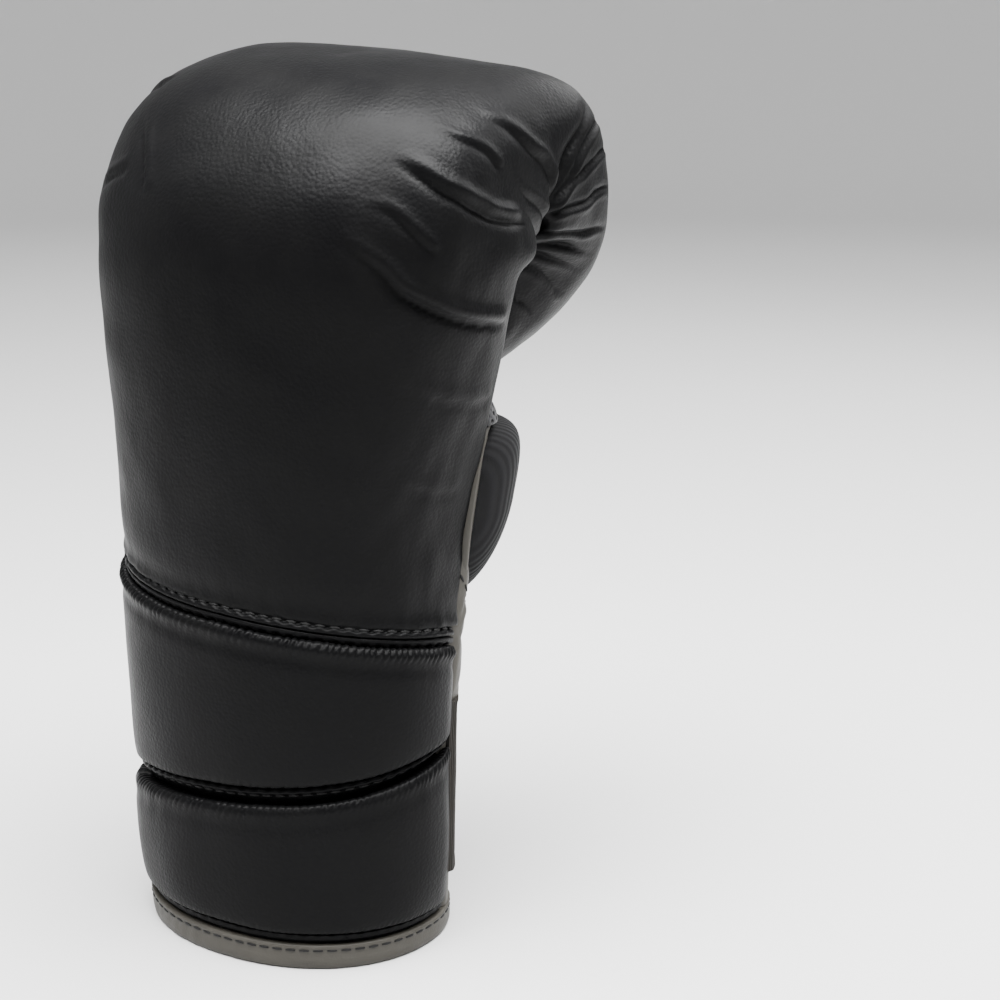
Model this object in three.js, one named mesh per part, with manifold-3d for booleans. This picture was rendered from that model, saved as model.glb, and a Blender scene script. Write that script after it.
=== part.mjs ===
// Punching glove for the left hand: a padded bag mitt that stands on its cuff.
// Units are millimetres and +Z is up. X runs across the hand with the thumb at +X,
// -Y is the back of the hand and +Y is the palm. The cuff's hem stands on z = 0.
//
// Round the body an angle says where a point is: 0 is the middle of the back,
// 90 the thumb side, 180 the middle of the palm and 270 the little finger's side.
import * as THREE from "three";
import { mergeVertices } from "three/addons/utils/BufferGeometryUtils.js";
import Module from "manifold-3d";

const wasm = await Module();
wasm.setup();

// Driving dimensions
const GAP = 0.5; // clearance between neighbouring pieces
const ROUNDNESS = 0.94; // exponent of the ovals, where 1 is a plain ellipse
const LEATHER = 2.2; // wall of the grey palm leather with its thin backing
const HEM_HEIGHT = 8.5; // width of the grey binding
const HEM_THICKNESS = 3.6;
const PIPING_HEIGHT = 3;
const WELT_HEIGHT = 6; // flat strip between two padded bands
const WELT_THICKNESS = 4;
const PALM_TOP = 172; // the palm leather ends here, under the rolled fist
const MESH_TOP = 214; // the mesh panel ends here, and the grey gusset begins

// Rows of numbers with named columns
function table(heads, ...rows) {
  const names = heads.trim().split(/\s+/);
  return rows.map((row) => Object.fromEntries(names.map((name, i) => [name, row[i]])));
}

const BLACK_LEATHER = { color: 0x1c1c1e, roughness: 0.42, metalness: 0 };
const GREY_LEATHER = { color: 0x55564f, roughness: 0.5, metalness: 0 };
const BLACK_FABRIC = { color: 0x0f0f10, roughness: 0.9, metalness: 0 };
const ELASTIC = { color: 0x15130f, roughness: 0.95, metalness: 0 };

// The oval of the cuff and hand at each height
const BODY = table(
  "z     half   back  palm  shift",
  [0, 52.5, 43.5, 38, 0],
  [30, 56, 43.5, 32.5, -0.5],
  [65, 57, 43, 31.5, -0.5],
  [100, 58.5, 44, 32.5, 0],
  [130, 61, 46, 34, 1],
  [160, 63, 49, 36.5, 3.5],
  [190, 65, 51, 40, 6],
);

// The padded back, from its seam with the cuff over the knuckles to the fingertips.
// y and z follow the outer face's middle line. tilt turns its outward direction from
// the back (0) through up (90) to the front (180), and bend adds to it at the seam.
// half is half the width, side the depth down to the widest place, wrap the angle where
// the seam lies, thick the padding in the middle, edge the padding at the seam, shift an
// offset towards the thumb and round the exponent of the section's oval.
const PAD = table(
  "y      z    tilt bend half  side wrap thick edge shift round",
  [-42, 120.6, 0, 0, 58, 42, 100, 15, 6, 0, 0.94],
  [-45.5, 129, 0, 0, 60, 45.5, 100, 20, 7, 1.5, 0.94],
  [-48, 151, 0, 0, 61.5, 48, 100, 27, 8, 4, 0.92],
  [-50.5, 176, 0, 0, 64.5, 49, 102, 32, 9, 7.5, 0.9],
  [-52, 202, 0, 0, 66.5, 47, 107, 35, 10, 10.5, 0.87],
  [-52, 227, 7, 0, 67, 41, 113, 37, 11, 12.5, 0.84],
  [-46, 250, 28, 0, 66.5, 34, 117, 38, 11, 13, 0.8],
  [-28, 272, 56, 0, 66, 29, 121, 38, 11, 13, 0.76],
  [-1, 283, 80, 0, 65.5, 28, 125, 38, 11, 13.5, 0.74],
  [31, 285, 96, 0, 65, 29, 129, 38, 11, 14, 0.74],
  [65, 278, 118, 0, 64.5, 30, 133, 38, 11, 14, 0.74],
  [90, 259, 145, 0, 64, 32, 134, 37, 11, 13.5, 0.76],
  [102, 232, 171, 0, 62.5, 33, 137, 36, 11, 12, 0.8],
  [98, 203, 200, -15, 58.5, 33, 139, 34, 10, 9, 0.85],
  [81, 181, 232, -40, 51, 24, 126, 29, 9, 4, 0.9],
  [58, 173, 264, -62, 44, 14, 112, 17, 7, 1, 0.92],
);
const SLANT_ROWS = 4; // the slant of the seam fades out over this many rows
const KNUCKLE_DROP = 6; // the knuckles are lower at the thumb side
const SIDE_PADDING = 20; // padding beside the fingers
const PAD_COLUMNS = 22;
const PAD_ROWS = 34;

// Padded bands round the wrist: thick in the middle of the back and thinner at their
// edge, wrap degrees to each side, swollen by puff between their seams
const BAND = { thick: 11, edge: 6, wrap: 100, puff: 3.4 };

// Small helpers
const radians = (degrees) => (degrees * Math.PI) / 180;
const lerp = (a, b, share) => a + (b - a) * share;
const { smoothstep } = THREE.MathUtils;
const power = (value, exponent) => Math.sign(value) * Math.abs(value) ** exponent;

// One field of a table at a fractional row number, on a Catmull-Rom spline.
function along(table, field, at) {
  const last = table.length - 1;
  const row = Math.min(Math.max(Math.floor(at), 0), last - 1);
  const value = (index) => table[Math.min(Math.max(index, 0), last)][field];
  const [a, b, c, d] = [row - 1, row, row + 1, row + 2].map(value);
  const t = at - row;
  const slope = (c - a) / 2;
  const next = (d - b) / 2;
  return (
    b + t * (slope + t * (3 * (c - b) - 2 * slope - next + t * (2 * (b - c) + slope + next)))
  );
}

// The row number at which a table's z reaches a height.
function rowAt(table, z) {
  const last = table.length - 1;
  let row = 0;
  while (row < last - 1 && table[row + 1].z <= z) row += 1;
  return Math.min(row + (z - table[row].z) / (table[row + 1].z - table[row].z), last);
}

// The body's surface at an angle and height, lifted along its outward direction.
function skin(angle, z, lift = 0) {
  const at = Math.max(rowAt(BODY, z), 0);
  const half = along(BODY, "half", at);
  const turn = radians(angle);
  const isBack = Math.cos(turn) > 0;
  const depth = along(BODY, isBack ? "back" : "palm", at);
  const x = half * power(Math.sin(turn), ROUNDNESS);
  const y = -depth * power(Math.cos(turn), ROUNDNESS);
  const normal = new THREE.Vector2(Math.sin(turn) / half, -Math.cos(turn) / depth).normalize();
  return new THREE.Vector3(
    along(BODY, "shift", at) + x + normal.x * lift,
    y + normal.y * lift,
    z,
  );
}

// Heights of the two seams on the back of the wrist. side is -1 at the little
// finger's edge and 1 at the thumb's edge.
const upperSeam = (side) => 116.5 - 7 * side - 5 * side * Math.abs(side);
const lowerSeam = (side) => 55 + 8 * side + 4 * side * Math.abs(side);

// A closed solid between two grids of points. outer(u, v) and inner(u, v) give them
// for u and v from 0 to 1. Where loop is true, u goes all the way round.
function slab(columns, rows, outer, inner, loop = false) {
  const points = [];
  const across = loop ? columns : columns + 1;
  for (const face of [outer, inner])
    for (let row = 0; row <= rows; row += 1)
      for (let column = 0; column < across; column += 1)
        points.push(...face(column / columns, row / rows).toArray());
  const at = (face, column, row) => (face * (rows + 1) + row) * across + (column % across);
  const triangles = [];
  const quad = (a, b, c, d) => triangles.push(a, b, c, a, c, d);
  for (let row = 0; row < rows; row += 1)
    for (let column = 0; column < columns; column += 1) {
      const corners = [
        [column, row],
        [column + 1, row],
        [column + 1, row + 1],
        [column, row + 1],
      ];
      quad(...corners.map(([c, r]) => at(0, c, r)));
      quad(...corners.reverse().map(([c, r]) => at(1, c, r)));
    }
  for (let column = 0; column < columns; column += 1) {
    quad(at(0, column + 1, 0), at(0, column, 0), at(1, column, 0), at(1, column + 1, 0));
    quad(at(0, column, rows), at(0, column + 1, rows), at(1, column + 1, rows), at(1, column, rows));
  }
  for (let row = 0; row < rows && !loop; row += 1) {
    quad(at(0, 0, row), at(0, 0, row + 1), at(1, 0, row + 1), at(1, 0, row));
    quad(at(0, columns, row + 1), at(0, columns, row), at(1, columns, row), at(1, columns, row + 1));
  }
  return solid(points, triangles);
}

// A manifold solid from points and triangles, turned to face outwards.
function solid(points, triangles) {
  const raw = new THREE.BufferGeometry();
  raw.setAttribute("position", new THREE.Float32BufferAttribute(points, 3));
  raw.setIndex(triangles);
  const merged = mergeVertices(raw, 1e-3);
  const index = [];
  for (let i = 0; i < merged.index.count; i += 3) {
    const [a, b, c] = [0, 1, 2].map((k) => merged.index.array[i + k]);
    if (a !== b && b !== c && c !== a) index.push(a, b, c);
  }
  const make = (triVerts) =>
    new wasm.Manifold(
      new wasm.Mesh({
        numProp: 3,
        vertProperties: merged.attributes.position.array,
        triVerts: new Uint32Array(triVerts),
      }),
    );
  const made = make(index);
  return made.volume() > 0 ? made : make(index.reverse());
}

// A solid with others cut out of it, without the slivers that a cut can leave.
function cutBy(shape, cutters) {
  const cut = cutters.reduce((left, cutter) => left.subtract(cutter), shape);
  return cut.decompose().sort((a, b) => b.volume() - a.volume())[0];
}

// The glove's group, and a function that adds one named piece to it
const glove = new THREE.Group();
function add(name, shape, finish) {
  const { numProp, vertProperties, triVerts } = shape.getMesh();
  const points = [];
  for (let i = 0; i < vertProperties.length; i += numProp)
    points.push(vertProperties[i], vertProperties[i + 1], vertProperties[i + 2]);
  const geometry = new THREE.BufferGeometry();
  geometry.setAttribute("position", new THREE.Float32BufferAttribute(points, 3));
  geometry.setIndex(Array.from(triVerts));
  const mesh = new THREE.Mesh(geometry, new THREE.MeshStandardMaterial(finish));
  mesh.name = name;
  glove.add(mesh);
}

// The padded back: side is across its width from -1 to 1, and at is a row of PAD.
function padSection(at) {
  const value = (field) => along(PAD, field, at);
  return {
    ...Object.fromEntries(Object.keys(PAD[0]).map((field) => [field, value(field)])),
    wrap: radians(value("wrap")),
    slant: 1 - smoothstep(at, 0, SLANT_ROWS),
    drop: KNUCKLE_DROP * smoothstep(at, 4, 8) * (1 - smoothstep(at, 11, 14)),
  };
}

// A point of a section, x across and depth down from its highest point.
function placeInSection(section, side, x, depth) {
  const tilt = radians(section.tilt + section.bend * side ** 2);
  const fall = depth + (section.drop * x) / section.half;
  return new THREE.Vector3(
    section.shift + x,
    section.y + Math.cos(tilt) * fall,
    section.z +
      section.slant * (upperSeam(side) - upperSeam(0)) -
      Math.sin(tilt) * fall,
  );
}

// Points of its outer and inner face. grow makes it larger all round.
function padOuter(side, at, grow = 0) {
  const section = padSection(at);
  const turn = side * (section.wrap + grow / section.side);
  const x = (section.half + grow) * power(Math.sin(turn), section.round);
  const fall = 1 - power(Math.cos(turn), section.round);
  return placeInSection(section, side, x, (section.side + grow) * fall - grow);
}

function padInner(side, at, grow = 0) {
  const section = padSection(at);
  const wrap = section.wrap + grow / section.side;
  const seamX = section.half * power(Math.sin(wrap), section.round) - section.edge - grow;
  const seamDepth = section.side * (1 - power(Math.cos(wrap), section.round));
  const swell = Math.max(section.half - SIDE_PADDING - seamX - grow, 0);
  const turn = (side * Math.PI) / 2;
  const x = seamX * power(Math.sin(turn), section.round) + swell * Math.sin(2 * turn);
  const fall = 1 - power(Math.cos(turn), section.round);
  return placeInSection(section, side, x, lerp(section.thick + grow, seamDepth, fall));
}

function padShape(grow, beyond = 0) {
  const row = (v) => lerp(-beyond, PAD.length - 1 + beyond, v);
  return slab(
    PAD_COLUMNS,
    PAD_ROWS,
    (u, v) => padOuter(2 * u - 1, row(v), grow),
    (u, v) => padInner(2 * u - 1, row(v), grow),
  );
}
add("back_pad", padShape(0), BLACK_LEATHER);
// Cut from the pieces beside the pad, to keep them clear of its faces and ends.
const PAD_CLEARANCE = 2;
const BEYOND_ENDS = 0.12; // in rows of PAD
const padRoom = padShape(PAD_CLEARANCE, BEYOND_ENDS);

// A padded or flat strip round the back of the wrist between two height lines.
function wristStrip({ low, high, columns, rows, thick, edge, puff }) {
  const bulge = (v) => puff * (1 - (2 * v - 1) ** 4);
  const place = (u, v, depth) => {
    const side = 2 * u - 1;
    const z = lerp(low(side), high(side), v);
    const angle = side * BAND.wrap;
    return skin(angle, z, bulge(v) * (1 - side ** 6) - depth);
  };
  const depthAt = (u) => lerp(edge, thick, 1 - (2 * u - 1) ** 4);
  return slab(
    columns,
    rows,
    (u, v) => place(u, v, 0),
    (u, v) => place(u, v, bulge(v) * (1 - (2 * u - 1) ** 6) + depthAt(u)),
  );
}

const BAND_FOOT = HEM_HEIGHT + PIPING_HEIGHT + 2 * GAP;
const halfWelt = WELT_HEIGHT / 2;
add(
  "upper_band",
  wristStrip({
    low: (side) => lowerSeam(side) + halfWelt + GAP,
    high: (side) => upperSeam(side) - halfWelt - GAP,
    columns: 26,
    rows: 6,
    ...BAND,
  }),
  BLACK_LEATHER,
);
add(
  "lower_band",
  wristStrip({
    low: () => BAND_FOOT,
    high: (side) => lowerSeam(side) - halfWelt - GAP,
    columns: 26,
    rows: 6,
    ...BAND,
  }),
  BLACK_LEATHER,
);
for (const [name, line] of [
  ["upper_welt", upperSeam],
  ["lower_welt", lowerSeam],
])
  add(
    name,
    wristStrip({
      low: (side) => line(side) - halfWelt,
      high: (side) => line(side) + halfWelt,
      columns: 26,
      rows: 1,
      thick: WELT_THICKNESS,
      edge: WELT_THICKNESS,
      puff: 0,
    }),
    BLACK_LEATHER,
  );
add(
  "hem_piping",
  wristStrip({
    low: () => HEM_HEIGHT + GAP,
    high: () => HEM_HEIGHT + GAP + PIPING_HEIGHT,
    columns: 26,
    rows: 1,
    thick: WELT_THICKNESS,
    edge: WELT_THICKNESS,
    puff: 0,
  }),
  BLACK_LEATHER,
);

// Lengths round the hem, measured from the wrist slit towards the thumb.
const SLIT_ANGLE = 194;
const HEM_STEPS = 240;
const hemLengths = [0];
for (let step = 1; step <= HEM_STEPS; step += 1) {
  const angle = (index) => SLIT_ANGLE - (360 * index) / HEM_STEPS;
  const from = skin(angle(step - 1), 20);
  hemLengths.push(hemLengths[step - 1] + from.distanceTo(skin(angle(step), 20)));
}
const HEM_LENGTH = hemLengths[HEM_STEPS];

function angleAt(length) {
  const wrapped = ((length % HEM_LENGTH) + HEM_LENGTH) % HEM_LENGTH;
  let step = 0;
  while (step < HEM_STEPS - 1 && hemLengths[step + 1] <= wrapped) step += 1;
  const share = (wrapped - hemLengths[step]) / (hemLengths[step + 1] - hemLengths[step]);
  return SLIT_ANGLE - (360 * (step + share)) / HEM_STEPS;
}
const onHem = (length, z, lift) => skin(angleAt(length), z, lift);

// The grey binding runs round the hem and up both edges of the slit. Its middle line
// is drawn flat, as length round the hem and height.
const SLIT = { half: 2, top: 147, arch: 16, flare: 46, corner: 30 };
const bindingMiddle = HEM_HEIGHT / 2;
const edgeLine = SLIT.half + HEM_HEIGHT / 2;

function slitEdge(path, sign, origin) {
  const w = (value) => origin + sign * value;
  path.moveTo(w(0), SLIT.top);
  path.quadraticCurveTo(w(edgeLine), SLIT.top, w(edgeLine), SLIT.top - SLIT.arch);
  path.lineTo(w(edgeLine), SLIT.flare);
  path.bezierCurveTo(
    w(edgeLine),
    SLIT.flare * 0.4,
    w(edgeLine + 5),
    bindingMiddle,
    w(edgeLine + SLIT.corner),
    bindingMiddle,
  );
  return path;
}

function bindingPath() {
  const down = slitEdge(new THREE.Path(), 1, 0).getSpacedPoints(34);
  const up = slitEdge(new THREE.Path(), -1, HEM_LENGTH).getSpacedPoints(34).reverse();
  const from = down[down.length - 1];
  const to = up[0];
  const hem = Array.from({ length: 35 }, (_, i) => from.clone().lerp(to, (i + 1) / 36));
  return [...down, ...hem, ...up.slice(0, -1)];
}

// A strip that follows a flat path on the skin, width wide, between two lifts.
function stripOn(path, width, low, high, loop) {
  const count = path.length;
  const steps = loop ? count : count - 1;
  const side = path.map((point, index) => {
    const before = path[loop ? (index + count - 1) % count : Math.max(index - 1, 0)];
    const after = path[loop ? (index + 1) % count : Math.min(index + 1, count - 1)];
    const tangent = after.clone().sub(before);
    if (loop && Math.abs(tangent.x) > HEM_LENGTH / 2) tangent.x -= Math.sign(tangent.x) * HEM_LENGTH;
    tangent.normalize();
    return new THREE.Vector2(-tangent.y, tangent.x);
  });
  const place = (u, v, lift) => {
    const index = Math.round(u * steps) % count;
    const point = path[index].clone().addScaledVector(side[index], (v - 0.5) * width);
    return onHem(point.x, point.y, lift);
  };
  return slab(
    steps,
    1,
    (u, v) => place(u, v, high),
    (u, v) => place(u, v, low),
    loop,
  );
}

const bindingLow = -LEATHER / 2 - HEM_THICKNESS / 2;
const bindingHigh = bindingLow + HEM_THICKNESS;
add("hem_binding", stripOn(bindingPath(), HEM_HEIGHT, bindingLow, bindingHigh, true), GREY_LEATHER);

// The palm leather is a thin wall between the pads' edges, cut by the slit and the
// thumb's hole. At its top it curls outwards to the seam under the rolled fist.
const LIP = { from: 156, reach: 15.5, start: 152, end: 218, fade: 14 };
const palmEdge = (z) => BAND.wrap + 1.6 + 4 * smoothstep(z, 80, 108);
function palmPoint(u, v, lift) {
  const z = lerp(HEM_HEIGHT + GAP, PALM_TOP, v);
  const angle = lerp(palmEdge(z), 360 - palmEdge(z), u);
  const across =
    smoothstep(angle, LIP.start, LIP.start + LIP.fade) *
    (1 - smoothstep(angle, LIP.end - LIP.fade, LIP.end));
  const curl = ((z - Math.min(z, LIP.from)) / (PALM_TOP - LIP.from)) ** 2;
  const rise = across * curl;
  return skin(angle, z - 0.5 * lift * rise, lift + LIP.reach * rise);
}
const palmWall = slab(
  26,
  15,
  (u, v) => palmPoint(u, v, 0),
  (u, v) => palmPoint(u, v, -LEATHER),
);

// A cutter as deep as the wall, drawn flat as length round the hem and height.
const CUT_DEPTH = 8;
function flatCutter(columns, rows, place, loop) {
  return slab(
    columns,
    rows,
    (u, v) => onHem(...place(u, v).toArray(), CUT_DEPTH),
    (u, v) => onHem(...place(u, v).toArray(), -CUT_DEPTH),
    loop,
  );
}

function slitCutter() {
  const edge = slitEdge(new THREE.Path(), 1, 0).getSpacedPoints(30);
  return flatCutter(6, edge.length - 1, (u, v) => {
    const point = edge[Math.round(v * (edge.length - 1))];
    return new THREE.Vector2(lerp(-1, 1, u) * Math.max(point.x, 1), point.y);
  });
}
const bindingCutter = stripOn(
  bindingPath(),
  HEM_HEIGHT + 2 * GAP,
  -CUT_DEPTH,
  CUT_DEPTH,
  true,
);

// The thumb's hole is an oval with a flatter top, where it is open to the mesh.
const THUMB = { angle: 136, z: 142, halfWidth: 22.5, halfHeight: 34, rim: 3, reach: 16.5 };
const TOP_SQUARENESS = 0.6;
const thumbLength = hemLengths[Math.round(((SLIT_ANGLE - THUMB.angle) / 360) * HEM_STEPS)];
const thumbMiddle = new THREE.Vector2(thumbLength, THUMB.z);
function thumbOval(turn, grow) {
  const upright = Math.sin(turn) > 0 ? TOP_SQUARENESS : 1;
  return new THREE.Vector2(
    thumbLength + (THUMB.halfWidth + grow) * power(Math.cos(turn), upright),
    THUMB.z + (THUMB.halfHeight + grow) * power(Math.sin(turn), upright),
  );
}
const thumbCutter = flatCutter(
  36,
  3,
  (u, v) => thumbOval(u * 2 * Math.PI, GAP).lerp(thumbMiddle, v),
  true,
);
const palmCuts = [slitCutter(), bindingCutter, thumbCutter, padRoom];
add("palm_panel", cutBy(palmWall, palmCuts), GREY_LEATHER);

// The binding of the thumb's hole is a U that ends under the mesh.
const RIM_ENDS = 62; // degrees left open at the oval's top
const RIM_HEIGHT = 1.4;
const rimPath = Array.from({ length: 33 }, (_, index) =>
  thumbOval(radians(lerp(90 + RIM_ENDS / 2, 450 - RIM_ENDS / 2, index / 32)), -THUMB.rim / 2),
);
const rimStrip = stripOn(rimPath, THUMB.rim, -LEATHER, RIM_HEIGHT, false);
add("thumb_binding", cutBy(rimStrip, [padRoom]), GREY_LEATHER);

// The thumb stall is a thin dome over the hole, full at the top and tapering downwards.
const STALL_WALL = 1.6;
const STALL_PEAK = 10; // how far the fullest place lies above the oval's middle
function stallPoint(u, v, shrink) {
  const turn = u * 2 * Math.PI;
  const rim = thumbOval(turn, -THUMB.rim - GAP - shrink);
  const peak = thumbMiddle.clone().add(new THREE.Vector2(0, STALL_PEAK));
  const radius = 1 - v;
  const fullness = lerp(2, 7, (1 + Math.sin(turn)) / 2);
  const lift = (THUMB.reach - shrink) * (1 - radius ** fullness) ** (1 / 2.2);
  return onHem(...peak.lerp(rim, radius).toArray(), lift - STALL_WALL);
}
add(
  "thumb_stall",
  slab(
    24,
    6,
    (u, v) => stallPoint(u, v, 0),
    (u, v) => stallPoint(u, v, STALL_WALL),
    true,
  ),
  BLACK_FABRIC,
);

// The side gussets close the sides of the fist, between the padded back's edge and the
// edge of the part that is rolled over the fingers. Each starts as a wall that reaches
// into both edges, and the pad's room is cut from it.
const GUSSET = { foot: PALM_TOP + 1, top: 246, into: 0.1, backFrom: 2, frontTo: 14.6, crown: 9 };
const ROW_STEP = 0.05;

// The middle of the pad's edge face where it first reaches a height, going by rows.
function padEdgeAt(sign, z, from, to) {
  const step = Math.sign(to - from) * ROW_STEP;
  let point;
  for (let at = from; (to - at) * step > 0; at += step) {
    point = padOuter(sign, at).lerp(padInner(sign, at), 0.5);
    if (point.z >= z) break;
  }
  return point;
}

function sideGusset(sign) {
  const place = (u, v, depth) => {
    const z = lerp(GUSSET.foot, GUSSET.top, v);
    const back = padEdgeAt(sign, z, GUSSET.backFrom, GUSSET.crown);
    const front = padEdgeAt(sign, z, GUSSET.frontTo, GUSSET.crown);
    const reach = lerp(-GUSSET.into, GUSSET.into, smoothstep(z, PALM_TOP + 12, PALM_TOP + 20));
    const point = back.lerp(front, lerp(-GUSSET.into, 1 + reach, u));
    return new THREE.Vector3(point.x - sign * depth, point.y, z);
  };
  return slab(
    6,
    16,
    (u, v) => place(u, v, 0),
    (u, v) => place(u, v, LEATHER),
  );
}
const thumbGusset = sideGusset(1);
const meshPart = thumbGusset.trimByPlane([0, 0, -1], -MESH_TOP);
const crescentPart = thumbGusset.trimByPlane([0, 0, 1], MESH_TOP + GAP);
add("mesh_panel", cutBy(meshPart, [padRoom]), BLACK_FABRIC);
add("finger_gusset_thumb", cutBy(crescentPart, [padRoom]), GREY_LEATHER);
add("finger_gusset_little", cutBy(sideGusset(-1), [padRoom]), GREY_LEATHER);

// The strap: an elastic from the thumb's side over the slit, then a leather tab that
// lies on a loop patch at the little finger's side. It rises a little on its way.
const STRAP = { from: 101, joint: 178, to: 250, slack: 0.5, low: 22, rise: 9, width: 59.5 };
const ELASTIC_BAND = { lift: 1.2, thick: 2.2 };
const TAB = { width: 61, thick: 3, corner: 22, topCorner: 9, lift: 2.4 };
const PATCH = { from: 212, to: 254, low: 29, high: 93, lift: 0.7, thick: 1.1 };
const strapLow = (angle) =>
  STRAP.low + STRAP.rise * smoothstep(angle, STRAP.from, 170);
function strapPiece(from, to, width, low, thick, columns, cut = () => [0, 0]) {
  const place = (u, v, lift) => {
    const angle = lerp(from, to, u);
    const [bottom, top] = cut(u);
    const start = strapLow(angle) + (STRAP.width - width) / 2;
    return skin(angle, lerp(start + bottom, start + width - top, v), lift);
  };
  return slab(
    columns,
    3,
    (u, v) => place(u, v, low + thick),
    (u, v) => place(u, v, low),
  );
}
add(
  "strap_elastic",
  strapPiece(STRAP.from, STRAP.joint - STRAP.slack, STRAP.width, ELASTIC_BAND.lift, ELASTIC_BAND.thick, 20),
  ELASTIC,
);

// The rounded end of the tab: how much its bottom and top edges are cut back.
const TAB_LENGTH = 88;
function tabCorners(u) {
  const left = (1 - u) * TAB_LENGTH;
  return [TAB.corner, TAB.topCorner].map((radius) => {
    const inside = Math.max(radius - left, 0);
    return radius - Math.sqrt(radius ** 2 - inside ** 2);
  });
}
add(
  "strap_tab",
  strapPiece(STRAP.joint, STRAP.to, TAB.width, TAB.lift, TAB.thick, 24, tabCorners),
  BLACK_LEATHER,
);
add(
  "loop_patch",
  slab(
    10,
    2,
    (u, v) => skin(lerp(PATCH.from, PATCH.to, u), lerp(PATCH.low, PATCH.high, v), PATCH.lift + PATCH.thick),
    (u, v) => skin(lerp(PATCH.from, PATCH.to, u), lerp(PATCH.low, PATCH.high, v), PATCH.lift),
  ),
  BLACK_FABRIC,
);

// The origin lies in the middle of the glove's outline, on the ground.
const outline = new THREE.Box3().setFromObject(glove);
const centre = outline.getCenter(new THREE.Vector3());
for (const mesh of glove.children)
  mesh.geometry.translate(-centre.x, -centre.y, -outline.min.z);

export default glove;
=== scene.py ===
# %% [markdown]
# # A padded bag mitt
# This lesson dresses the solid model of a left-hand punching glove. The solids give every
# piece its size and place. The leather, foam, mesh and stitching that the eye sees are
# modelled here, each on top of the solid that it stands for.

# %% Load the solid model
import bisect
import functools
import math

import bmesh
import bpy
from mathutils import Matrix, Vector, noise
from mathutils.geometry import interpolate_bezier
from mathutils.kdtree import KDTree


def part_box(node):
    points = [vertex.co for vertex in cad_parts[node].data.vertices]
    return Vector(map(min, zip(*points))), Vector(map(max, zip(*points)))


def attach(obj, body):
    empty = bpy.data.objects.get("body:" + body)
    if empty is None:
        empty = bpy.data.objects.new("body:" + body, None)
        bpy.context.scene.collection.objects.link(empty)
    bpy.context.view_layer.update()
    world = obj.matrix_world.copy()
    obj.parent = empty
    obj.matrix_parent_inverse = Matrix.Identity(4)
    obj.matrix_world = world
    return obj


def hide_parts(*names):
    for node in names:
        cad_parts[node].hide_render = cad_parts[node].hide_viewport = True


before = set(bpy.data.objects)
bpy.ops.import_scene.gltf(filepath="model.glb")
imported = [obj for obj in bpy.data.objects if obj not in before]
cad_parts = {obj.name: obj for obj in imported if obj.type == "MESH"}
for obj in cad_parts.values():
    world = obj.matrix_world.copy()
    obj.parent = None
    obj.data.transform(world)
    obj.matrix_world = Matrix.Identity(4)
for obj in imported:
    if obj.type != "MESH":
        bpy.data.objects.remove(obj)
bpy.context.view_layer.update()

MM = 0.001
print("solids:", len(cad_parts))


def add_object(name, data):
    """An object for a mesh, a lamp or a camera, placed in the scene."""
    item = bpy.data.objects.new(name, data)
    bpy.context.scene.collection.objects.link(item)
    return item


# %% [markdown]
# ## Shapes from a few rows of numbers
# A glove has no straight lines, but it has few sections that matter. Each table below has a
# row for each of them, and a smooth spline runs from row to row. A long list of points could
# do the same, but nobody could read or change it.

# %% Tables and splines
def table(heads, *rows):
    names = heads.split()
    return [dict(zip(names, row)) for row in rows]


def along(rows, field, at):
    """One field of a table at a fractional row number, on a Catmull-Rom spline."""
    last = len(rows) - 1
    row = min(max(math.floor(at), 0), last - 1)
    a, b, c, d = (rows[min(max(i, 0), last)][field] for i in range(row - 1, row + 3))
    t = at - row
    slope, after = (c - a) / 2, (d - b) / 2
    return b + t * (slope + t * (3 * (c - b) - 2 * slope - after + t * (2 * (b - c) + slope + after)))


def lerp(a, b, share):
    return a + (b - a) * share


def smoothstep(value, low, high):
    t = min(max((value - low) / (high - low), 0), 1)
    return t * t * (3 - 2 * t)


def power(value, exponent):
    return math.copysign(abs(value) ** exponent, value)


def hill(value, middle, width):
    """1 at the middle, falling smoothly to about 0 at two widths from it."""
    return math.exp(-(((value - middle) / width) ** 2))


# %% [markdown]
# ## The oval of the hand
# The cuff and the hand are an oval that changes with height. An angle says where a point is
# round it: 0 is the middle of the back, 90 the thumb's side, 180 the palm.

# %% The body's surface
BODY = table(
    "z   half  back  palm  shift",
    [0, 52.5, 43.5, 38, 0],
    [30, 56, 43.5, 32.5, -0.5],
    [65, 57, 43, 31.5, -0.5],
    [100, 58.5, 44, 32.5, 0],
    [130, 61, 46, 34, 1],
    [160, 63, 49, 36.5, 3.5],
    [190, 65, 51, 40, 6],
)
ROUNDNESS = 0.94


@functools.lru_cache(maxsize=None)
def body_oval(z):
    last = len(BODY) - 1
    row = 0
    while row < last - 1 and BODY[row + 1]["z"] <= z:
        row += 1
    at = row + (z - BODY[row]["z"]) / (BODY[row + 1]["z"] - BODY[row]["z"])
    at = min(max(at, 0), last)
    return {field: along(BODY, field, at) for field in ("half", "back", "palm", "shift")}


def skin_source(angle, z, lift=0):
    oval = body_oval(round(z, 2))
    turn = math.radians(angle)
    depth = oval["back"] if math.cos(turn) > 0 else oval["palm"]
    x = oval["half"] * power(math.sin(turn), ROUNDNESS)
    y = -depth * power(math.cos(turn), ROUNDNESS)
    normal = Vector((math.sin(turn) / oval["half"], -math.cos(turn) / depth)).normalized()
    return Vector((oval["shift"] + x + normal.x * lift, y + normal.y * lift, z))


# Heights of the two seams on the back of the wrist, from side -1, the little finger's
# edge, to side 1, the thumb's.
def upper_seam(side):
    return 116.5 - 7 * side - 5 * side * abs(side)


def lower_seam(side):
    return 55 + 8 * side + 4 * side * abs(side)


# %% [markdown]
# ## The padded back
# One long pad runs from the cuff over the knuckles and rolls in over the fingers. Its rows
# follow that way: where the middle line is, how far it is turned, how wide and how deep.

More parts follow.
